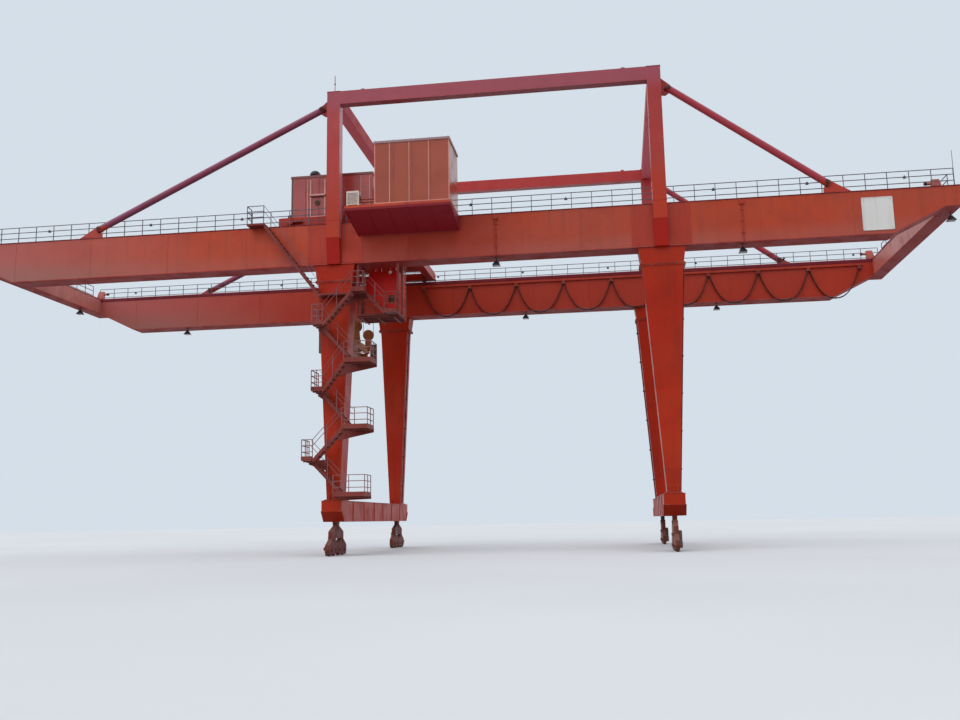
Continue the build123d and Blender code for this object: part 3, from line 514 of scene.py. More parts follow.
# Bogies: cast wheel frames under a balance beam, with axle caps held by small bolts, geared motors
# standing on two of the four wheels, rubber buffers, and sweepers just above the rail.
paint_nodes(bogie_paint, *corner_nodes("bogie"))
wheel_places, driven_places = (-0.665, -0.235, 0.235, 0.665), (-0.235, 0.235)
wheel_axis, frame_side, motor_depth, sweeper_reach = 0.16, 0.0653, 0.11, 0.885
pivots = [(-0.45, 0.46, 0.045), (0.45, 0.46, 0.045), (0, 0.80, 0.06)]
pad_reach, pad_level = 1.045, 0.22
caps = bmesh.new()
motors = bmesh.new()
pads = bmesh.new()
for end, side in corners:
    x, y = end * leg_x, side * girder_y
    for hand in (-1, 1):
        face = x + hand * frame_side
        bosses = [(place, wheel_axis, 0.05) for place in wheel_places]
        for place, z, radius in bosses + pivots:
            add_round(caps, (face - hand * 0.002, y + place, z), (face + hand * 0.02, y + place, z), radius,
                      0.9 * radius)
            ring = [(face + hand * 0.02, y + place + 0.6 * radius * cos(turn), z + 0.6 * radius * sin(turn))
                    for turn in (pi / 4, 3 * pi / 4, 5 * pi / 4, 7 * pi / 4)]
            add_bolts(caps, ring, (hand, 0, 0), 0.007)
    for place in driven_places:
        wheel_y = y + place
        near, far = x + end * frame_side, x + end * (frame_side + motor_depth)
        add_block(motors, (near, wheel_y - 0.07, 0.09), (far, wheel_y + 0.07, 0.30), 0.02)
        middle = (near + far) / 2
        add_round(motors, (middle, wheel_y, 0.29), (middle, wheel_y, 0.56), 0.05)
        add_round(motors, (middle, wheel_y, 0.50), (middle, wheel_y, 0.575), 0.055, 0.045)
        for fin in range(6):
            z = 0.33 + fin * 0.026
            add_round(motors, (middle, wheel_y, z), (middle, wheel_y, z + 0.008), 0.06)
    outer = y + side * pad_reach
    add_round(pads, (x, outer - side * 0.002, pad_level), (x, outer - side * 0.05, pad_level), 0.06, 0.064)
    for hand in (-1, 1):
        tip = y + hand * sweeper_reach
        add_block(caps, (x - 0.05, tip - 0.012, 0.02), (x + 0.05, tip + 0.012, 0.13))
finish_piece("bogie_caps", caps, bolt_steel)
motor_paint = painted("motor_paint", (92, 96, 98), (110, 112, 110), (52, 48, 46), rust=0.5, gloss=0.45)
finish_piece("travel_motors", motors, motor_paint, smooth=True)
finish_piece("bogie_pads", pads, rubber, smooth=True)


# Upper portal: square tube posts and beams above the girders, dusty pink where the sun has bleached
# them, paler on their right sides as a painted sheen, and the original red on the brackets that lap
# down the webs.
def portal_bands(tree):
    """Purplish near top beam, redder far one, right sides paled as painted sheen, deep red brackets at the
    girders.
    """
    height, across = coordinate(tree, "Z"), coordinate(tree, "Y")
    beam = ramp(tree, height, 13.6, 14.0)
    return [(product(tree, beam, ramp(tree, across, 0, -3, 0.7)), (152, 80, 94)),
            (product(tree, beam, ramp(tree, across, 0, 3, 0.6)), (182, 50, 46)),
            (ramp(tree, height, 13.2, 10.1, 0.88), (178, 52, 18)),
            (ramp(tree, facing(tree, "X"), 0.8, 0.95, 0.6), (214, 164, 172)),
            (ramp(tree, height, 9.59, 9.57, 0.96), (166, 24, 0))]


portal_paint = painted("portal_paint", (172, 60, 60), (166, 74, 78), (122, 46, 52), streaks=0.25, rust=0.12,
                       gloss=0.24, plate=(2.9, 60, 60), bands=portal_bands, shine=0.22)
paint_nodes(portal_paint, "near_top_beam", "far_top_beam", *corner_nodes("post"))


def cross_bands(tree):
    """A paler underside: painted light on the faces that look down."""
    return [(ramp(tree, facing(tree, "Z"), -0.6, -0.8, 0.92), (242, 134, 150))]


cross_paint = painted("cross_paint", (178, 60, 62), (172, 74, 80), (150, 62, 70), streaks=0.25, rust=0.12,
                      gloss=0.5, plate=(60, 2.9, 60), bands=cross_bands, shine=0.15)
paint_nodes(cross_paint, "left_cross_beam", "right_cross_beam")
post_side, post_low, post_high, portal_top = 0.205, 4.25, 4.575, 14.325
bracket_foot, bracket_head, lug_inset, lug_y = 9.58, 10.13, 0.9, 4.42
bm = bmesh.new()
for end, side in corners:
    x = end * leg_x
    add_block(bm, (x - post_side - 0.012, side * (post_low - 0.012), portal_top - 0.004),
              (x + post_side + 0.012, side * (post_high + 0.012), portal_top + 0.012))
    for foot in (bracket_foot, bracket_head):
        add_block(bm, (x - post_side - 0.008, side * (web + 0.01), foot - 0.006),
                  (x + post_side + 0.008, side * (post_high + 0.008), foot + 0.006))
    lug = x - end * lug_inset
    add_block(bm, (lug - 0.06, side * lug_y - 0.012, portal_top),
              (lug + 0.06, side * lug_y + 0.012, portal_top + 0.10), 0.02)
finish_piece("portal_caps", bm, portal_paint)
bm = bmesh.new()
rod_y = -(post_low + post_high) / 2
add_round(bm, (-leg_x, rod_y, portal_top), (-leg_x, rod_y, portal_top + 0.06), 0.05, 0.02)
add_round(bm, (-leg_x, rod_y, portal_top + 0.30), (-leg_x, rod_y, portal_top + 0.34), 0.022)
finish_piece("rod_collars", bm, bolt_steel, smooth=True)


# Stays: round tubes from the portal corners to the girders, purple red, pinned through gusset plates
# with a welded collar at each end of the tube.
def stay_bands(tree):
    """Redder right tubes, paler upper sides as painted sunlight, and the girder's red on the gusset plates.
    """
    along = coordinate(tree, "X")
    return [(ramp(tree, along, -1, 1, 0.8), (166, 52, 60)),
            (ramp(tree, facing(tree, "Z"), 0.1, 0.9, 0.5), (168, 122, 134)),
            (ramp(tree, worked(tree, "ABSOLUTE", along), 5.36, 5.33, 0.85), (150, 34, 24)),
            (ramp(tree, coordinate(tree, "Z"), 10.47, 10.44, 0.85), (176, 54, 28))]


stay_paint = painted("stay_paint", (138, 62, 86), (138, 72, 98), (92, 44, 60), streaks=0.2, rust=0.15,
                     gloss=0.30, plate=(60, 60, 60), bands=stay_bands)
paint_nodes(stay_paint, *corner_nodes("stay"))
bm = bmesh.new()
stay_y, left_reach, left_drop, right_reach, right_drop = web - 0.04, 7.88, 0.43, 4.86, 0.59
for end, reach, drop in ((-1, left_reach, left_drop), (1, right_reach, right_drop)):
    for side in (-1, 1):
        foot = Vector((end * (leg_x + reach), side * stay_y, girder_top + 0.255))
        head = Vector((end * (leg_x + post_side + 0.15), side * stay_y, portal_top - drop))
        along = (head - foot).normalized()
        for point, push in ((foot, 1), (head, -1)):
            add_round(bm, point + 0.02 * push * along, point + 0.07 * push * along, 0.118)
            pin = point + 0.10 * push * along
            add_round(bm, pin - Vector((0, 0.15, 0)), pin + Vector((0, 0.15, 0)), 0.042)
            for hand in (-1, 1):
                add_bolts(bm, [pin + Vector((0, hand * 0.12, 0))], (0, hand, 0), 0.045)
finish_piece("stay_pins", bm, bolt_steel, smooth=True)


# House platform: a steel deck on six tapered brackets welded to the near web. A thin sloping sheet
# with narrow ribs closes it from below, with painted shade below the deck plate's edge.
def platform_bands(tree):
    """Painted shade below the deck plate's edge, lighter on the faces that look down, which get less light.
    """
    below = ramp(tree, coordinate(tree, "Z"), 10.035, 10.02, 0.9)
    downward = ramp(tree, facing(tree, "Z"), -0.5, -0.9)
    upright = worked(tree, "SUBTRACT", 1.0, downward)
    return [(product(tree, below, upright), (120, 32, 46)), (product(tree, below, downward), (150, 40, 54))]


platform_paint = painted("platform_paint", (190, 72, 48), (180, 78, 58), (122, 28, 66), streaks=0.5,
                         gloss=0.5, bands=platform_bands, shine=0.15)
paint_nodes(platform_paint, "house_platform")
platform_low, platform_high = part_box("house_platform")
bracket_count, rib_width, joist_places = 6, 0.032, (-5.5, -5.1, -4.7)
sheet_left, sheet_right, sheet_edge = platform_low.x + 0.02, platform_high.x - 0.02, platform_low.y + 0.06
outer_z, inner_z = girder_top - 0.15, girder_top - 0.46
bm = bmesh.new()
for step in range(bracket_count):
    x = sheet_left + step * (sheet_right - sheet_left) / (bracket_count - 1) - rib_width / 2
    outline = [(x, sheet_edge, outer_z), (x, -web, inner_z + 0.01), (x, -web, inner_z - 0.006),
               (x, sheet_edge, outer_z - 0.016)]
    add_slab(bm, outline, (rib_width, 0, 0))
outline = [(sheet_left, sheet_edge, outer_z), (sheet_left, -web, inner_z + 0.01),
           (sheet_left, -web, inner_z + 0.006), (sheet_left, sheet_edge, outer_z - 0.004)]
add_slab(bm, outline, (sheet_right - sheet_left, 0, 0))
for y in joist_places:
    add_block(bm, (sheet_left + 0.01, y - 0.03, girder_top - 0.11),
              (sheet_right - 0.01, y + 0.03, girder_top - 0.06))
finish_piece("platform_flanges", bm, platform_paint)


# Electrical house: a closed room of folded steel sheet, semi-gloss orange brown, with paler cover
# strips over the joints, a dark roof edge, and a door with a vent on its left end.
def house_bands(tree):
    """The dusty paint of the roof and its edge."""
    return [(ramp(tree, coordinate(tree, "Z"), 11.952, 11.956), (148, 114, 118))]


house_paint = painted("house_paint", (152, 58, 28), (154, 64, 38), (122, 50, 34), streaks=0.22, rust=0.08,
                      wear=0.3, gloss=0.13, plate=(0.55, 60, 60), bands=house_bands, shine=0.42)
paint_nodes(house_paint, "electrical_house")
house_low, house_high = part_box("electrical_house")
roof_lip, seam_width = 0.025, 0.024
house_left, house_right = house_low.x + roof_lip, house_high.x - roof_lip
house_front, house_back, eaves = house_low.y + roof_lip, house_high.y - roof_lip, house_high.z - 0.07
strip_paint = painted("strip_paint", (216, 134, 114), (208, 138, 122), (150, 86, 72), streaks=0.2, rust=0.1,
                      gloss=0.3)
strip_shares = (0, 0.2, 0.465, 0.73, 1)
bm = bmesh.new()
for share in strip_shares:
    x = house_left + share * (house_right - house_left - seam_width)
    add_block(bm, (x - 0.003, house_front - 0.015, girder_top),
              (x + seam_width + 0.003, house_front, eaves))
add_block(bm, (house_left, house_front - 0.018, girder_top),
          (house_right, house_front, girder_top + 0.035))
for y in (house_front, (house_front + house_back) / 2, house_back - seam_width):
    add_block(bm, (house_left - 0.006, y, girder_top), (house_left, y + seam_width, eaves))
finish_piece("house_strips", bm, strip_paint)
bm = bmesh.new()
door_near, door_far, door_low, door_high, door_rim = -5.42, -4.86, 10.14, 11.62, 0.04
louvre_low, louvre_pitch, hinge_levels, handle_level = 10.32, 0.035, (10.4, 11.0, 11.45), 10.90
handle_y, face = door_far - 0.07, house_left
add_block(bm, (face - 0.022, door_near, door_low), (face, door_far, door_high), 0.006)
for y0, y1, z0, z1 in ((door_near - door_rim, door_near, door_low, door_high + door_rim),
                       (door_far, door_far + door_rim, door_low, door_high + door_rim),
                       (door_near, door_far, door_high, door_high + door_rim)):
    add_block(bm, (face - 0.03, y0, z0), (face, y1, z1))
for slat in range(9):
    z = louvre_low + slat * louvre_pitch
    add_block(bm, (face - 0.036, door_near + 0.10, z), (face - 0.02, door_far - 0.10, z + 0.018))
for z in hinge_levels:
    add_round(bm, (face - 0.032, door_near + 0.005, z), (face - 0.032, door_near + 0.005, z + 0.08), 0.012)
add_block(bm, (face - 0.036, handle_y - 0.02, handle_level - 0.10),
          (face - 0.022, handle_y + 0.02, handle_level + 0.08))
add_round(bm, (face - 0.055, handle_y, handle_level), (face - 0.055, handle_y - 0.11, handle_level), 0.009)
add_round(bm, (face - 0.03, handle_y, handle_level), (face - 0.06, handle_y, handle_level), 0.009)
for step in range(5):
    x = house_left + 0.02 + step * (house_right - house_left - 0.06) / 4
    add_block(bm, (x, house_low.y + 0.01, house_high.z - 0.002),
              (x + 0.02, house_high.y - 0.01, house_high.z + 0.022))
finish_piece("house_door_and_ribs", bm, house_paint)

# Air conditioner: a white powder-coated cabinet with a louvred front, a fan ring and two lagged pipes
# into the house wall.
cooler_paint = painted("cooler_paint", (214, 198, 186), (204, 190, 178), (150, 132, 118), streaks=0.3,
                       rust=0.1, wear=0.1, gloss=0.4)
paint_nodes(cooler_paint, "air_conditioner")
cooler_low, cooler_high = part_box("air_conditioner")
grille = painted("grille_grey", (150, 136, 126), (140, 128, 120), (96, 84, 76), gloss=0.5)
bm = bmesh.new()
for slat in range(9):
    z = cooler_low.z + 0.09 + slat * 0.038
    add_block(bm, (cooler_low.x + 0.03, cooler_low.y - 0.012, z),
              (cooler_high.x - 0.03, cooler_low.y, z + 0.014))
hub = Vector((cooler_high.x, (cooler_low.y + cooler_high.y) / 2, cooler_low.z + 0.27))
for radius in (0.035, 0.07, 0.105):
    sideways = Matrix.Translation(hub) @ Matrix.Rotation(pi / 2, 4, "Y")
    ring = bmesh.ops.create_circle(bm, segments=20, radius=radius, matrix=sideways)
    rims = list({rim for corner in ring["verts"] for rim in corner.link_edges})
    hoop = bmesh.ops.extrude_edge_only(bm, edges=rims)
    moved = [part for part in hoop["geom"] if isinstance(part, bmesh.types.BMVert)]
    bmesh.ops.translate(bm, vec=(0.012, 0, 0), verts=moved)
    walls = [part for part in hoop["geom"] if isinstance(part, bmesh.types.BMFace)]
    bmesh.ops.solidify(bm, geom=walls, thickness=0.008)
finish_piece("cooler_grille", bm, grille)
bm = bmesh.new()
for z in (cooler_low.z + 0.16, cooler_low.z + 0.25):
    add_round(bm, (cooler_high.x - 0.01, hub.y + 0.02, z), (house_left + 0.01, hub.y + 0.02, z), 0.028,
              sides=12)
    for x in (cooler_high.x, house_left - 0.02):
        add_round(bm, (x, hub.y + 0.02, z), (x + 0.02, hub.y + 0.02, z), 0.042, sides=12)
finish_piece("cooler_pipes", bm, house_paint, smooth=True)

# Girder railings: square steel posts with three rails, blue grey, on bolted base plates, with small
# round walkway lamps hung on the middle rail and a thin rod on the last post at the right tip.
railing_paint = painted("railing_paint", (92, 90, 100), (108, 104, 112), (62, 56, 60), streaks=0.3,
                        rust=0.35, wear=0.2, gloss=0.5)
paint_nodes(railing_paint, "near_railing", "far_railing", "end_railings")
railing_y, railing_inset, bay = 4.18, 0.10, 0.607
runs_of_posts = [(-railing_y, left_tip + railing_inset, -4.0),
                 (-railing_y, -3.1, right_tip - railing_inset),
                 (railing_y, left_tip + railing_inset, right_tip - railing_inset)]
bm = bmesh.new()
for y, start, stop in runs_of_posts:
    count = round((stop - start) / bay)
    for post in range(count + 1):
        x = start + 0.01 + post * (stop - start - 0.02) / count
        add_block(bm, (x - 0.035, y - 0.035, girder_top), (x + 0.035, y + 0.035, girder_top + 0.012))
rod_x = right_tip - railing_inset
add_round(bm, (rod_x, -railing_y, girder_top), (rod_x, -railing_y, girder_top + 1.10), 0.012, 0.007,
          sides=8)
finish_piece("railing_feet", bm, railing_paint)
lamp_shell = painted("lamp_shell", (66, 66, 76), (80, 80, 88), (42, 40, 44), rust=0.2, gloss=0.4)
bm = bmesh.new()
lamp_places = [(-railing_y, x) for x in (-14.54, -11.05, -8.0, -0.70, 2.19, 6.53, 9.2, 11.9)]
lamp_places += [(railing_y, x) for x in (-15.97, -12.8, -9.72, -6.5, -3.30, 0.05, 3.34, 6.65, 9.9, 12.4)]
lamp_level, lamp_out = girder_top + 0.36, 0.06
for y, x in lamp_places:
    outward, z = -1 if y < 0 else 1, lamp_level
    hang = y + outward * lamp_out
    add_block(bm, (x - 0.012, y, z + 0.015), (x + 0.012, hang + outward * 0.01, z + 0.035))
    add_round(bm, (x, hang, z - 0.035), (x, hang, z + 0.02), 0.052, 0.03)
    add_round(bm, (x, hang, z + 0.02), (x, hang, z + 0.045), 0.03, 0.012)
finish_piece("railing_lamps", bm, lamp_shell, smooth=True)

# Stairs on the near left leg: folded plate stringers and treads, brown red and dirty from boots, with
# pipe railings and kick boards round the landings.
stair_paint = painted("stair_paint", (122, 48, 42), (134, 62, 54), (74, 34, 38), rust=0.5, gloss=0.5,
                      plate=(60, 60, 1.0))


def stair_bands(tree):
    """The blue grey of the girder railings on the top flight."""
    return [(ramp(tree, coordinate(tree, "Z"), 9.2, 9.7, 0.9), (90, 84, 94))]


stair_rail_paint = painted("stair_rail_paint", (126, 74, 76), (138, 88, 88), (82, 52, 54), streaks=0.3,
                           rust=0.35, wear=0.2, gloss=0.5, bands=stair_bands)
paint_nodes(stair_paint, "stair_stringers", "stair_landings", "cab_gallery")
paint_nodes(stair_rail_paint, "stair_railings")


def tread_bands(tree):
    """Worn, dusty patches where the treads are walked on."""
    return [(ramp(tree, noise(tree, 2.4, 4), 0.4, 0.6, 0.55), (138, 110, 104))]


tread_paint = painted("tread_paint", (126, 62, 56), (140, 84, 76), (80, 42, 44), rust=0.6, gloss=0.55,
                      bands=tread_bands)
paint_nodes(tread_paint, "stair_treads")
landings = [(-4.75, -3.79, 1.76), (-5.70, -5.35, 2.81), (-4.50, -3.71, 3.715), (-5.43, -5.08, 4.85),
            (-4.45, -3.62, 5.675), (-5.44, -5.09, 6.845), (-4.23, -3.85, 7.80)]
stair_out, outer_lane, inner_edge, kick_height, bearer_places = -5.065, -4.745, -4.40, 0.07, (-4.92, -4.60)
bm = bmesh.new()
for x0, x1, z in landings:
    add_block(bm, (x0, stair_out - 0.004, z), (x1, stair_out + 0.006, z + kick_height))
    tip = x0 if x1 < -leg_x else x1
    end_stop = outer_lane if z == landings[-1][2] else inner_edge
    add_block(bm, (tip - 0.005, stair_out, z), (tip + 0.005, end_stop, z + kick_height))
    for y in bearer_places:
        if y < end_stop:
            add_block(bm, (x0 + 0.02, y - 0.02, z - 0.095), (x1 - 0.02, y + 0.02, z - 0.06))
finish_piece("landing_kickboards", bm, stair_paint)

# Cab gallery: a platform of steel plate hung below the near girder, for stepping over to the cab.
# Joists and cross bars are welded under it.
gallery_left, gallery_right, gallery_near, gallery_far, gallery_level = -4.23, -2.97, -4.26, -3.35, 7.14
bm = bmesh.new()
for step in range(5):
    y = gallery_near + 0.06 + step * 0.20
    add_block(bm, (gallery_left, y - 0.018, gallery_level - 0.05),
              (gallery_right, y + 0.018, gallery_level))
for x in (-4.1, -3.6, -3.1):
    add_block(bm, (x - 0.02, gallery_near, gallery_level - 0.09),
              (x + 0.02, gallery_far, gallery_level - 0.05))
finish_piece("gallery_joists", bm, stair_paint)

# Festoon: a cable track on the far girder's inner web. Two-wheeled carriers hold loops of round
# rubber cable, three side by side, which hang from carrier to carrier.
paint_nodes(doubler_paint, "festoon_track")
festoon_y, festoon_left, festoon_pitch, festoon_count = inner_web - 0.06, -3.74, 1.795, 10
track_level, carrier_foot = girder_top - 0.22, girder_top - 0.33
bm = bmesh.new()
for carrier in range(festoon_count):
    x = festoon_left + carrier * festoon_pitch
    for place in (x - 0.035, x + 0.035):
        add_round(bm, (place, festoon_y - 0.036, track_level - 0.03),
                  (place, festoon_y - 0.028, track_level - 0.03), 0.026)
    add_round(bm, (x - 0.07, festoon_y, carrier_foot - 0.01), (x + 0.07, festoon_y, carrier_foot - 0.01),
              0.034)
    add_bolts(bm, [(x, festoon_y - 0.03, carrier_foot + 0.03)], (0, -1, 0), 0.012)
finish_piece("festoon_carriers", bm, bolt_steel, smooth=True)
sag, strand, steep, cables = 1.082, 0.015, 0.62, ((-0.026, 0.99), (0, 1.0), (0.026, 0.975))
arm, exit_arm, saddle = festoon_pitch / 4, 0.20, 0.03
loops = bpy.data.curves.new("festoon_loops", "CURVE")
loops.dimensions = "3D"
loops.bevel_depth = strand
loops.bevel_resolution = 1
for loop in range(festoon_count - 1):
    start = festoon_left + loop * festoon_pitch
    for offset, share in cables:
        line = loops.splines.new("BEZIER")
        line.bezier_points.add(2)
        knots = ((start + saddle, 0, exit_arm, steep), (start + festoon_pitch / 2, sag * share, arm, 0),
                 (start + festoon_pitch - saddle, 0, exit_arm, -steep))
        for knot, (x, fall, reach, rise) in zip(line.bezier_points, knots):
            knot.co = (x, festoon_y + offset, carrier_foot - fall)
            knot.handle_right = knot.co + Vector((reach, 0, -rise))
            knot.handle_left = knot.co - Vector((reach, 0, -rise))
        line.resolution_u = 10
flexible = bpy.data.objects.new("festoon_line", loops)
scene.collection.objects.link(flexible)
loop_mesh = bpy.data.meshes.new_from_object(flexible)
bpy.data.objects.remove(flexible)
loop_mesh.materials.clear()
loop_mesh.materials.append(rubber)
festoon_cables = bpy.data.objects.new("festoon_loops", loop_mesh)
scene.collection.objects.link(festoon_cables)
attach(festoon_cables, "crane")
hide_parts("festoon_cables")

# Floodlights: dark cast housings that flare downwards, with a pale glass below. Each hangs from the
# girder by a stem and a yoke, with cooling fins between.
paint_nodes(lamp_shell, "floodlights")
lamp_glass = painted("lamp_glass", (118, 122, 120), (110, 114, 112), (84, 82, 78), rust=0, wear=0,
                     gloss=0.15)
floodlights = [(0.02, -girder_y, girder_bottom), (7.3, -girder_y, girder_bottom),
               (0.15, girder_y, girder_bottom), (7.3, girder_y, girder_bottom),
               (-13.55, girder_y, girder_bottom), (-17.37, 2.53, tip_bottom), (13.27, -3.6, tip_bottom)]
glasses = bmesh.new()
yokes = bmesh.new()
for x, y, z in floodlights:
    add_block(glasses, (x - 0.10, y - 0.10, z - 0.246), (x + 0.10, y + 0.10, z - 0.238), 0.003)
    add_block(yokes, (x - 0.05, y - 0.05, z - 0.03), (x + 0.05, y + 0.05, z - 0.016))
    for hand in (-1, 1):
        root, tip = x + hand * 0.02, x + hand * 0.115
        outline = [(root, y - 0.015, z - 0.075), (root, y - 0.015, z - 0.09), (tip, y - 0.015, z - 0.19),
                   (tip, y - 0.015, z - 0.17)]
        add_slab(yokes, outline, (0, 0.03, 0))
    for fin in (-0.03, -0.01, 0.01, 0.03):
        add_block(yokes, (x + fin - 0.003, y - 0.045, z - 0.12), (x + fin + 0.003, y + 0.045, z - 0.085))
finish_piece("floodlight_glasses", glasses, lamp_glass)
finish_piece("floodlight_yokes", yokes, lamp_shell)

# Trolley: end carriages on four wheels joined by two cross girders and a deck, with a geared drive on
# each carriage, rail sweepers and a black warning lamp at the left corner.
trolley_paint = painted("trolley_paint", (176, 40, 22), (176, 54, 36), (100, 30, 30), streaks=0.4,
                        rust=0.35, gloss=0.35)
paint_nodes(trolley_paint, "trolley_frame")
steel, tree, shader = new_finish("worn_steel")
stain = ramp(tree, noise(tree, 5, 6), 0.42, 0.68)
fill(shader, {"Base Color": mixed(tree, stain, shade(128, 122, 116), shade(84, 62, 48)),
              "Metallic": ramp(tree, stain, 1.0, -0.6, 0.95),
              "Roughness": ramp(tree, stain, -1.0, 1.4, 0.85),
              "Normal": bumped(tree, noise(tree, 90, 3), 0.3, 0.001)})
paint_nodes(steel, "trolley_wheels")
trolley_left, trolley_right, deck = -6.90, -3.35, 10.56
rail_top, wheel_inset, motor_level = girder_top + rail_height, 0.42, girder_top + rail_height + 0.20
axle = rail_top + 0.15
sixths = [step * pi / 3 for step in range(6)]
hubs = bmesh.new()
drives = bmesh.new()
for side in (-1, 1):
    for x in (trolley_left + wheel_inset, trolley_right - wheel_inset):
        for hand in (-1, 1):
            face = side * rail_y + hand * 0.12
            add_round(hubs, (x, face - hand * 0.002, axle), (x, face + hand * 0.022, axle), 0.075, 0.07)
            ring = [(x + 0.05 * cos(turn), face + hand * 0.022, axle + 0.05 * sin(turn)) for turn in sixths]
            add_bolts(hubs, ring, (0, hand, 0), 0.009)
    for x in (trolley_left - 0.001, trolley_right + 0.001):
        out = -0.03 if x < -5 else 0.03
        add_block(hubs, (x, side * rail_y - 0.05, rail_top + 0.012),
                  (x + out, side * rail_y + 0.05, rail_top + 0.10))
    y = side * (rail_y + 0.20)
    x = trolley_left + wheel_inset
    add_block(drives, (x - 0.09, y - 0.075, rail_top + 0.06), (x + 0.09, y + 0.06, rail_top + 0.30), 0.02)
    add_round(drives, (x + 0.08, y, motor_level), (x + 0.36, y, motor_level), 0.058)
    for fin in range(7):
        place = x + 0.12 + fin * 0.026
        add_round(drives, (place, y, motor_level), (place + 0.008, y, motor_level), 0.068)
finish_piece("trolley_hubs", hubs, bolt_steel, "trolley")
finish_piece("trolley_drives", drives, trolley_paint, "trolley", smooth=True)


def add_dome(bm, place, radius, cut, rings, flat=1.0):
    """The part of a ball, flattened by a share, that stands above a level, closed from below."""
    shape = Matrix.Translation(place) @ Matrix.Diagonal((1, 1, flat, 1))
    bmesh.ops.create_uvsphere(bm, u_segments=2 * rings - 4, v_segments=rings, radius=radius, matrix=shape)
    bmesh.ops.bisect_plane(bm, geom=bm.verts[:] + bm.edges[:] + bm.faces[:], plane_co=(0, 0, cut),
                           plane_no=(0, 0, 1), clear_inner=True)
    bmesh.ops.holes_fill(bm, edges=bm.edges[:], sides=0)


bm = bmesh.new()
lamp_x, lamp_y = -6.66, -3.55
add_dome(bm, (lamp_x, lamp_y, deck + 0.08), 0.085, deck + 0.06, 10)
add_round(bm, (lamp_x, lamp_y, deck - 0.002), (lamp_x, lamp_y, deck + 0.07), 0.05, 0.07)
finish_piece("trolley_lamp", bm, lamp_shell, "trolley", smooth=True)


# Machinery house: the red sheet metal room over the hoist, with pale joint strips, pink door frames
# and a small window on its near face, and a round roof vent with a dark cowl.
def machinery_bands(tree):
    """The dark left corner post and roof edge, and the dark vent."""
    height = coordinate(tree, "Z")
    leftmost = ramp(tree, coordinate(tree, "X"), -6.53, -6.55, 0.8)
    corner = product(tree, leftmost, ramp(tree, coordinate(tree, "Y"), -3.6, -3.64))
    return [(corner, (88, 74, 74)), (ramp(tree, height, 11.888, 11.892), (124, 58, 58)),
            (ramp(tree, height, 11.965, 11.975), (92, 74, 84))]


machinery_paint = painted("machinery_paint", (166, 66, 62), (168, 74, 68), (118, 44, 40), streaks=0.3,
                          rust=0.12, gloss=0.2, plate=(0.44, 60, 60), bands=machinery_bands, shine=0.5)
paint_nodes(machinery_paint, "machinery_house")
room_left, room_right, room_face, room_eaves = -6.59, -3.93, 3.65, 11.89
bm = bmesh.new()
for panel in range(7):
    x = room_left + panel * (room_right - room_left - seam_width) / 6
    add_block(bm, (x - 0.003, -room_face - 0.016, deck), (x + seam_width + 0.003, -room_face, room_eaves))
for side, hand in ((room_left, -1), (room_right, 1)):
    for step in range(11):
        y = -room_face + step * (2 * room_face - seam_width) / 10
        add_block(bm, (side, y, deck), (side + hand * 0.012, y + seam_width, room_eaves))
for panel in range(7):
    x = room_left + panel * (room_right - room_left - seam_width) / 6
    add_block(bm, (x, room_face, deck), (x + seam_width, room_face + 0.012, room_eaves))
finish_piece("machinery_strips", bm, machinery_paint, "trolley")
bm = bmesh.new()
cowl_place, cowl_rim = Vector((-5.95, -3.23, 12.15)), 0.165
add_dome(bm, cowl_place, cowl_rim, cowl_place.z, 12, flat=0.74)
add_round(bm, cowl_place - Vector((0, 0, 0.02)), cowl_place + Vector((0, 0, 0.004)), cowl_rim + 0.006,
          sides=20)
finish_piece("vent_cowl", bm, lamp_shell, "trolley", smooth=True)
frame_pink = painted("frame_pink", (212, 164, 156), (204, 158, 152), (150, 92, 86), rust=0.1, gloss=0.3)
bm = bmesh.new()
front, frame_left, frame_right, frame_top, canopy_level = -room_face, -5.95, -5.48, 11.80, 11.25
for x in (frame_left, frame_right):
    add_block(bm, (x - 0.022, front - 0.034, deck + 0.02), (x + 0.022, front, frame_top))
add_block(bm, (-6.06, front - 0.024, deck), (-6.04, front, 11.85))
for x in (-4.30, -4.02):
    add_block(bm, (x - 0.012, front - 0.022, deck + 0.02), (x + 0.012, front, 11.85))
add_block(bm, (frame_left, front - 0.034, deck + 0.002), (frame_right, front, deck + 0.038))
add_block(bm, (frame_left - 0.02, front - 0.11, canopy_level),
          (frame_right + 0.02, front, canopy_level + 0.05))
add_block(bm, (-6.40, front - 0.03, deck - 0.005), (-5.20, front, deck + 0.02))
finish_piece("machinery_door_frame", bm, frame_pink, "trolley")
dark_glass, tree, shader = new_finish("dark_glass")
smear = ramp(tree, noise(tree, 4, 5, (1, 1, 0.5)), 0.45, 0.75)
fill(shader, {"Base Color": mixed(tree, smear, shade(62, 38, 22), shade(92, 62, 42)),
              "Roughness": ramp(tree, smear, -0.15, 1.5, 0.6), "Specular IOR Level": 0.2})
bm = bmesh.new()
window_x, window_level, window_radius = -5.73, 11.035, 0.085
add_round(bm, (window_x, front, window_level), (window_x, front - 0.03, window_level), window_radius,
          sides=20)
finish_piece("machinery_window", bm, dark_glass, body="trolley", smooth=True)

# Operator's cab: welded steel box, bright red, glazed over its raked front and low side panes, with a
# drip bead round the roof and a white lamp under it.
cab_paint = painted("cab_paint", (210, 24, 14), (208, 34, 20), (160, 26, 18), streaks=0.25, rust=0.15,
                    gloss=0.4, plate=(60, 60, 60), shine=0.2)
paint_nodes(cab_paint, "operator_cab")
cab_right, cab_near, cab_far = -3.20, -3.25, -2.25
nose, heel = (-4.295, 8.13), (-3.695, 7.60)
brow = (-4.11, 8.765)
roof_bead, pane_left, pane_right, pane_low, pane_high = 8.735, -3.515, -3.306, 7.76, 8.00
glass = bmesh.new()
trim = bmesh.new()


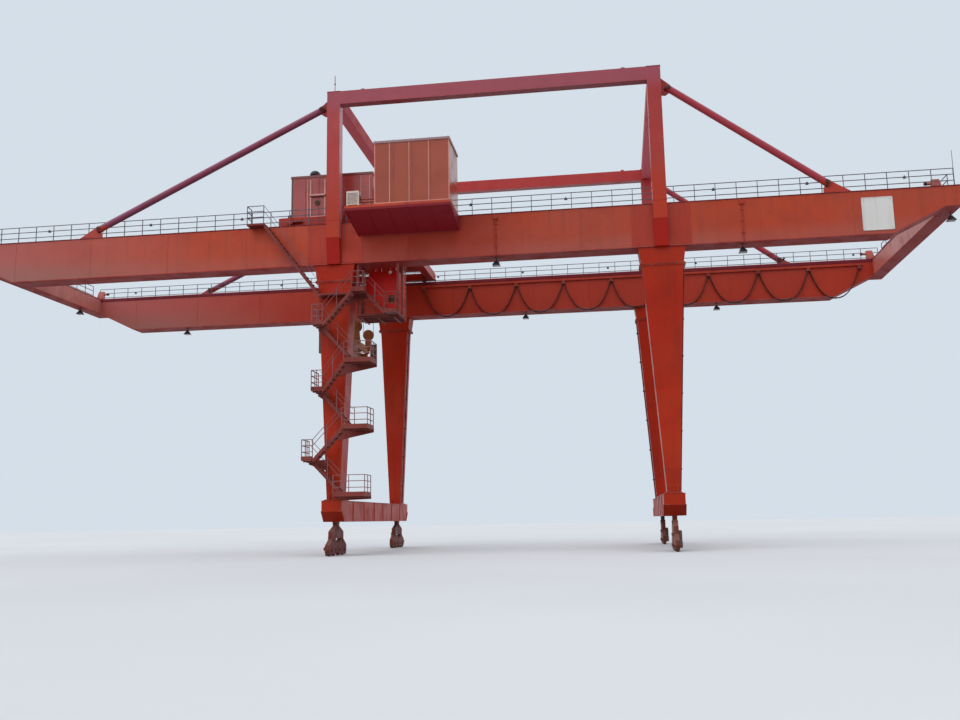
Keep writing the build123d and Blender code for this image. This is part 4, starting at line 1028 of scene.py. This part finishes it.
def add_pane(bm, low_point, high_point, margin, y0, y1, lift, thickness):
    """A flat pane or bar laid on the cab's raked front, between two (x, z) points."""
    low_point = Vector((low_point[0], 0, low_point[1]))
    high_point = Vector((high_point[0], 0, high_point[1]))
    along = (high_point - low_point).normalized()
    out = Vector((-along.z, 0, along.x))
    if out.x > 0:
        out = -out
    first, last = low_point + margin * along, high_point - margin * along
    outline = [first + lift * out, last + lift * out, last + (lift + thickness) * out,
               first + (lift + thickness) * out]
    add_slab(bm, [(corner.x, y0, corner.z) for corner in outline], (0, y1 - y0, 0))


for low_point, high_point in ((nose, brow), (heel, nose)):
    for y0, y1 in ((cab_near + 0.06, cab_near + 0.48), (cab_near + 0.52, cab_far - 0.06)):
        add_pane(glass, low_point, high_point, 0.06, y0, y1, 0.001, 0.008)
    for y0, y1 in ((cab_near, cab_near + 0.05), (cab_near + 0.485, cab_near + 0.515),
                   (cab_far - 0.05, cab_far)):
        add_pane(trim, low_point, high_point, 0.0, y0, y1, 0.0, 0.014)
for face, out in ((cab_near, -1), (cab_far, 1)):
    add_block(glass, (pane_left, face, pane_low), (pane_right, face + out * 0.006, pane_high), 0.002)
    for z in (pane_low - 0.01, pane_high - 0.005):
        add_block(trim, (pane_left - 0.015, face, z), (pane_right + 0.016, face + out * 0.012, z + 0.015))
    for x in (pane_left - 0.015, pane_right + 0.001):
        add_block(trim, (x, face, pane_low - 0.01), (x + 0.015, face + out * 0.012, pane_high + 0.01))
    add_block(trim, (-3.60, face, 8.11), (cab_right, face + out * 0.012, 8.15))
    add_block(trim, (brow[0] - 0.02, face, roof_bead),
              (cab_right + 0.01, face + out * 0.025, roof_bead + 0.04))
add_block(trim, (brow[0] - 0.03, cab_near - 0.02, roof_bead), (brow[0], cab_far + 0.02, roof_bead + 0.04))
for y in (cab_near + 0.20, cab_far - 0.20):
    add_round(trim, (-3.9, y, 8.76), (-3.9, y, 8.80), 0.03)
finish_piece("cab_glazing", glass, dark_glass, body="trolley")
finish_piece("cab_trim", trim, cab_paint, "trolley")
bm = bmesh.new()
bulb = Vector((-3.45, cab_near - 0.05, 8.72))
bmesh.ops.create_uvsphere(bm, u_segments=14, v_segments=9, radius=0.055, matrix=Matrix.Translation(bulb))
add_round(bm, bulb + Vector((0, 0.052, 0)), bulb, 0.03, 0.045)
finish_piece("cab_lamp", bm, enamel, "trolley", smooth=True)
ladder_paint = painted("ladder_paint", (184, 112, 104), (188, 124, 116), (120, 66, 62), rust=0.3,
                       gloss=0.45)
paint_nodes(ladder_paint, "cab_ladder")

# Hoist ropes: eight falls of greased steel wire rope, the strands laid round each rope. They run taut
# from the trolley's deck to the sheaves.
rope_steel, tree, shader = new_finish("rope_steel")
place = add_node(tree, "TexCoord").outputs["Object"]
lay = add_node(tree, "TexWave", {"Vector": place, "Scale": 14.0, "Distortion": 0.6}, wave_type="BANDS",
               bands_direction="DIAGONAL").outputs["Fac"]
fill(shader, {"Base Color": mixed(tree, lay, shade(52, 44, 40), shade(116, 108, 100)),
              "Roughness": ramp(tree, lay, 2.0, -1.0, 0.9), "Normal": bumped(tree, lay, 0.6, 0.002)})
hoist_x, sheave_x, sheave_y, sheave_z, sheave_radius = -5.70, 0.478, 0.80, 7.55, 0.175
rope_radius, rope_top = 0.008, deck - 0.02
bm = bmesh.new()
for end, side in corners:
    for fall in (-1, 1):
        x, y = hoist_x + end * sheave_x + fall * (sheave_radius + rope_radius), side * sheave_y
        add_round(bm, (x, y, sheave_z), (x, y, rope_top), rope_radius, sides=8)
ropes = finish_piece("hoist_falls", bm, rope_steel, None, smooth=True)
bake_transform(ropes)
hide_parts("hoist_ropes")

# Head block: an open frame with a grooved rope sheave in cheek plates at each corner, olive brown
# with old grease. The rope passes under each sheave between its two flanges.
block_paint = painted("block_paint", (150, 86, 46), (158, 94, 56), (92, 58, 38), rust=0.5, gloss=0.5,
                      plate=(60, 60, 60))
paint_nodes(block_paint, "head_block")
rivets = (pi / 2, 7 * pi / 6, 11 * pi / 6)
bm = bmesh.new()
falls = bmesh.new()
for end, side in corners:
    x, y = hoist_x + end * sheave_x, side * sheave_y
    for hand in (-1, 1):
        add_round(bm, (x, y + hand * 0.020, sheave_z), (x, y + hand * 0.044, sheave_z),
                  sheave_radius + 0.004, sheave_radius + 0.018, sides=32)
        add_round(bm, (x, y + hand * 0.065, sheave_z), (x, y + hand * 0.095, sheave_z), 0.055, 0.045)
        ring = [(x + 0.08 * cos(turn), y + hand * 0.065, sheave_z + 0.08 * sin(turn)) for turn in rivets]
        add_bolts(bm, ring, (0, hand, 0), 0.010)
    middle = Matrix.Translation((x + sheave_radius + rope_radius, y, sheave_z))
    section = bmesh.ops.create_circle(falls, segments=8, radius=rope_radius, matrix=middle)
    rims = list({rim for corner in section["verts"] for rim in corner.link_edges})
    bmesh.ops.spin(falls, geom=section["verts"] + rims, cent=(x, y, sheave_z), axis=(0, 1, 0), angle=pi,
                   steps=16)
for hand in (-1, 1):
    row = [(hoist_x + hand * 0.495, place, 6.99) for place in (-0.60, -0.30, 0.0, 0.30, 0.60)]
    add_bolts(bm, row, (hand, 0, 0), 0.018)
finish_piece("sheave_flanges", bm, block_paint, "spreader", smooth=True)
finish_piece("sheave_rope", falls, rope_steel, "spreader", smooth=True)
box_floor = 6.88
bm = bmesh.new()
add_block(bm, (hoist_x - 0.30, -0.42, box_floor), (hoist_x + 0.05, 0.30, box_floor + 0.32), 0.02)
for slat in range(6):
    z = box_floor + 0.05 + slat * 0.04
    add_block(bm, (hoist_x - 0.31, -0.34, z), (hoist_x - 0.30, 0.22, z + 0.016))
add_block(bm, (hoist_x + 0.12, 0.02, box_floor), (hoist_x + 0.34, 0.42, box_floor + 0.24), 0.015)
basket_paint = painted("basket_paint", (168, 118, 92), (160, 116, 96), (104, 70, 54), rust=0.4, gloss=0.5)
finish_piece("head_block_boxes", bm, basket_paint, "spreader")

# Spreader: two long welded beams between two end beams, with corner housings for the twistlocks and
# hinged guide flippers, painted brown orange and scraped bare by the loads it lifts.
spreader_paint = painted("spreader_paint", (138, 78, 48), (146, 92, 60), (84, 50, 38), streaks=0.45,
                         rust=0.6, wear=0.9, gloss=0.45, plate=(60, 60, 60))
flipper_paint = painted("flipper_paint", (80, 76, 68), (94, 88, 78), (48, 44, 42), rust=0.5, wear=0.9,
                        gloss=0.45, plate=(60, 60, 60))
paint_nodes(spreader_paint, "spreader_frame")
paint_nodes(flipper_paint, "spreader_flippers")
spreader_bottom, half_length, half_width = 6.62, 1.5145, 0.6095
housing_low, housing_high, tie_levels, bolt_places = 6.64, 6.86, (6.70, 6.78), (0.35, 0.65, 0.95, 1.25)
bm = bmesh.new()
scraped = bmesh.new()
for end in (-1, 1):
    for side in (-1, 1):
        x, y = hoist_x + end * (half_width - 0.045), side * (half_length - 0.051)
        add_block(bm, (x - end * 0.09, y - side * 0.09, housing_low),
                  (x + end * 0.042, y + side * 0.045, housing_high), 0.01)
        add_round(bm, (x, y, housing_high), (x, y, housing_high + 0.04), 0.035, 0.025)
        add_block(bm, (x - 0.012, y - side * 0.14, 6.88), (x + 0.012, y, 6.895))
        add_round(scraped, (x, y, spreader_bottom - 0.071), (x, y, spreader_bottom - 0.045), 0.012, 0.030,
                  sides=12)
        edge_x = hoist_x + end * (half_width - 0.02)
        middle = edge_x - end * 0.11
        pin_y = side * (half_length + 0.012)
        for low in tie_levels:
            add_round(scraped, (middle - 0.13, pin_y, low), (middle + 0.13, pin_y, low), 0.022)
        add_block(scraped, (edge_x - end * 0.21, side * (half_length + 0.02), 6.96),
                  (edge_x - end * 0.01, side * (half_length + 0.096), 6.985))
    for side in (-1, 1):
        row = [(hoist_x + end * 0.255, side * place, 6.78) for place in bolt_places]
        add_bolts(bm, row, (end, 0, 0), 0.014)
finish_piece("twistlock_housings", bm, spreader_paint, "spreader")
finish_piece("twistlock_tips", scraped, steel, "spreader", smooth=True)

# Studio: a plain pale floor under a soft overcast sky, with one broad soft lamp from the upper left.
# The floor is paler for the camera than for the light that it throws back on the crane.
floor_mesh = bpy.data.meshes.new("floor")
bm = bmesh.new()
bmesh.ops.create_grid(bm, x_segments=1, y_segments=1, size=260)
bm.to_mesh(floor_mesh)
bm.free()
floor = bpy.data.objects.new("floor", floor_mesh)
scene.collection.objects.link(floor)


def seen_directly(tree):
    """1 for what the camera sees, also in a reflection or through glass, and 0 for light on the crane."""
    path = add_node(tree, "LightPath").outputs
    seen = worked(tree, "MAXIMUM", path["Is Camera Ray"], path["Is Glossy Ray"])
    return worked(tree, "MAXIMUM", seen, path["Is Transmission Ray"])


floor_material, tree, shader = new_finish("pale_floor")
cloud = ramp(tree, noise(tree, 0.08, 4), 0.35, 0.65)
pale = mixed(tree, cloud, shade(204, 206, 208), shade(210, 212, 214))
dim = mixed(tree, cloud, shade(146, 136, 133), shade(150, 140, 137))
fill(shader, {"Base Color": mixed(tree, seen_directly(tree), dim, pale), "Roughness": 0.9})
floor_mesh.materials.append(floor_material)
sky = bpy.data.worlds.new("overcast")
scene.world = sky
sky.use_nodes = True
tree = sky.node_tree
daylight = (0.92, 0.95, 1.0, 1)
backdrop = mixed(tree, seen_directly(tree), daylight, shade(212, 222, 232))
fill(tree.nodes["Background"], {"Color": backdrop, "Strength": 1.0})
lamp = bpy.data.lights.new("soft_sun", "SUN")
lamp.energy = 0.9
lamp.angle = 1.3
sun = bpy.data.objects.new("soft_sun", lamp)
sun.matrix_world = Vector((0.45, 0.62, -0.75)).to_track_quat("-Z", "Y").to_matrix().to_4x4()
scene.collection.objects.link(sun)
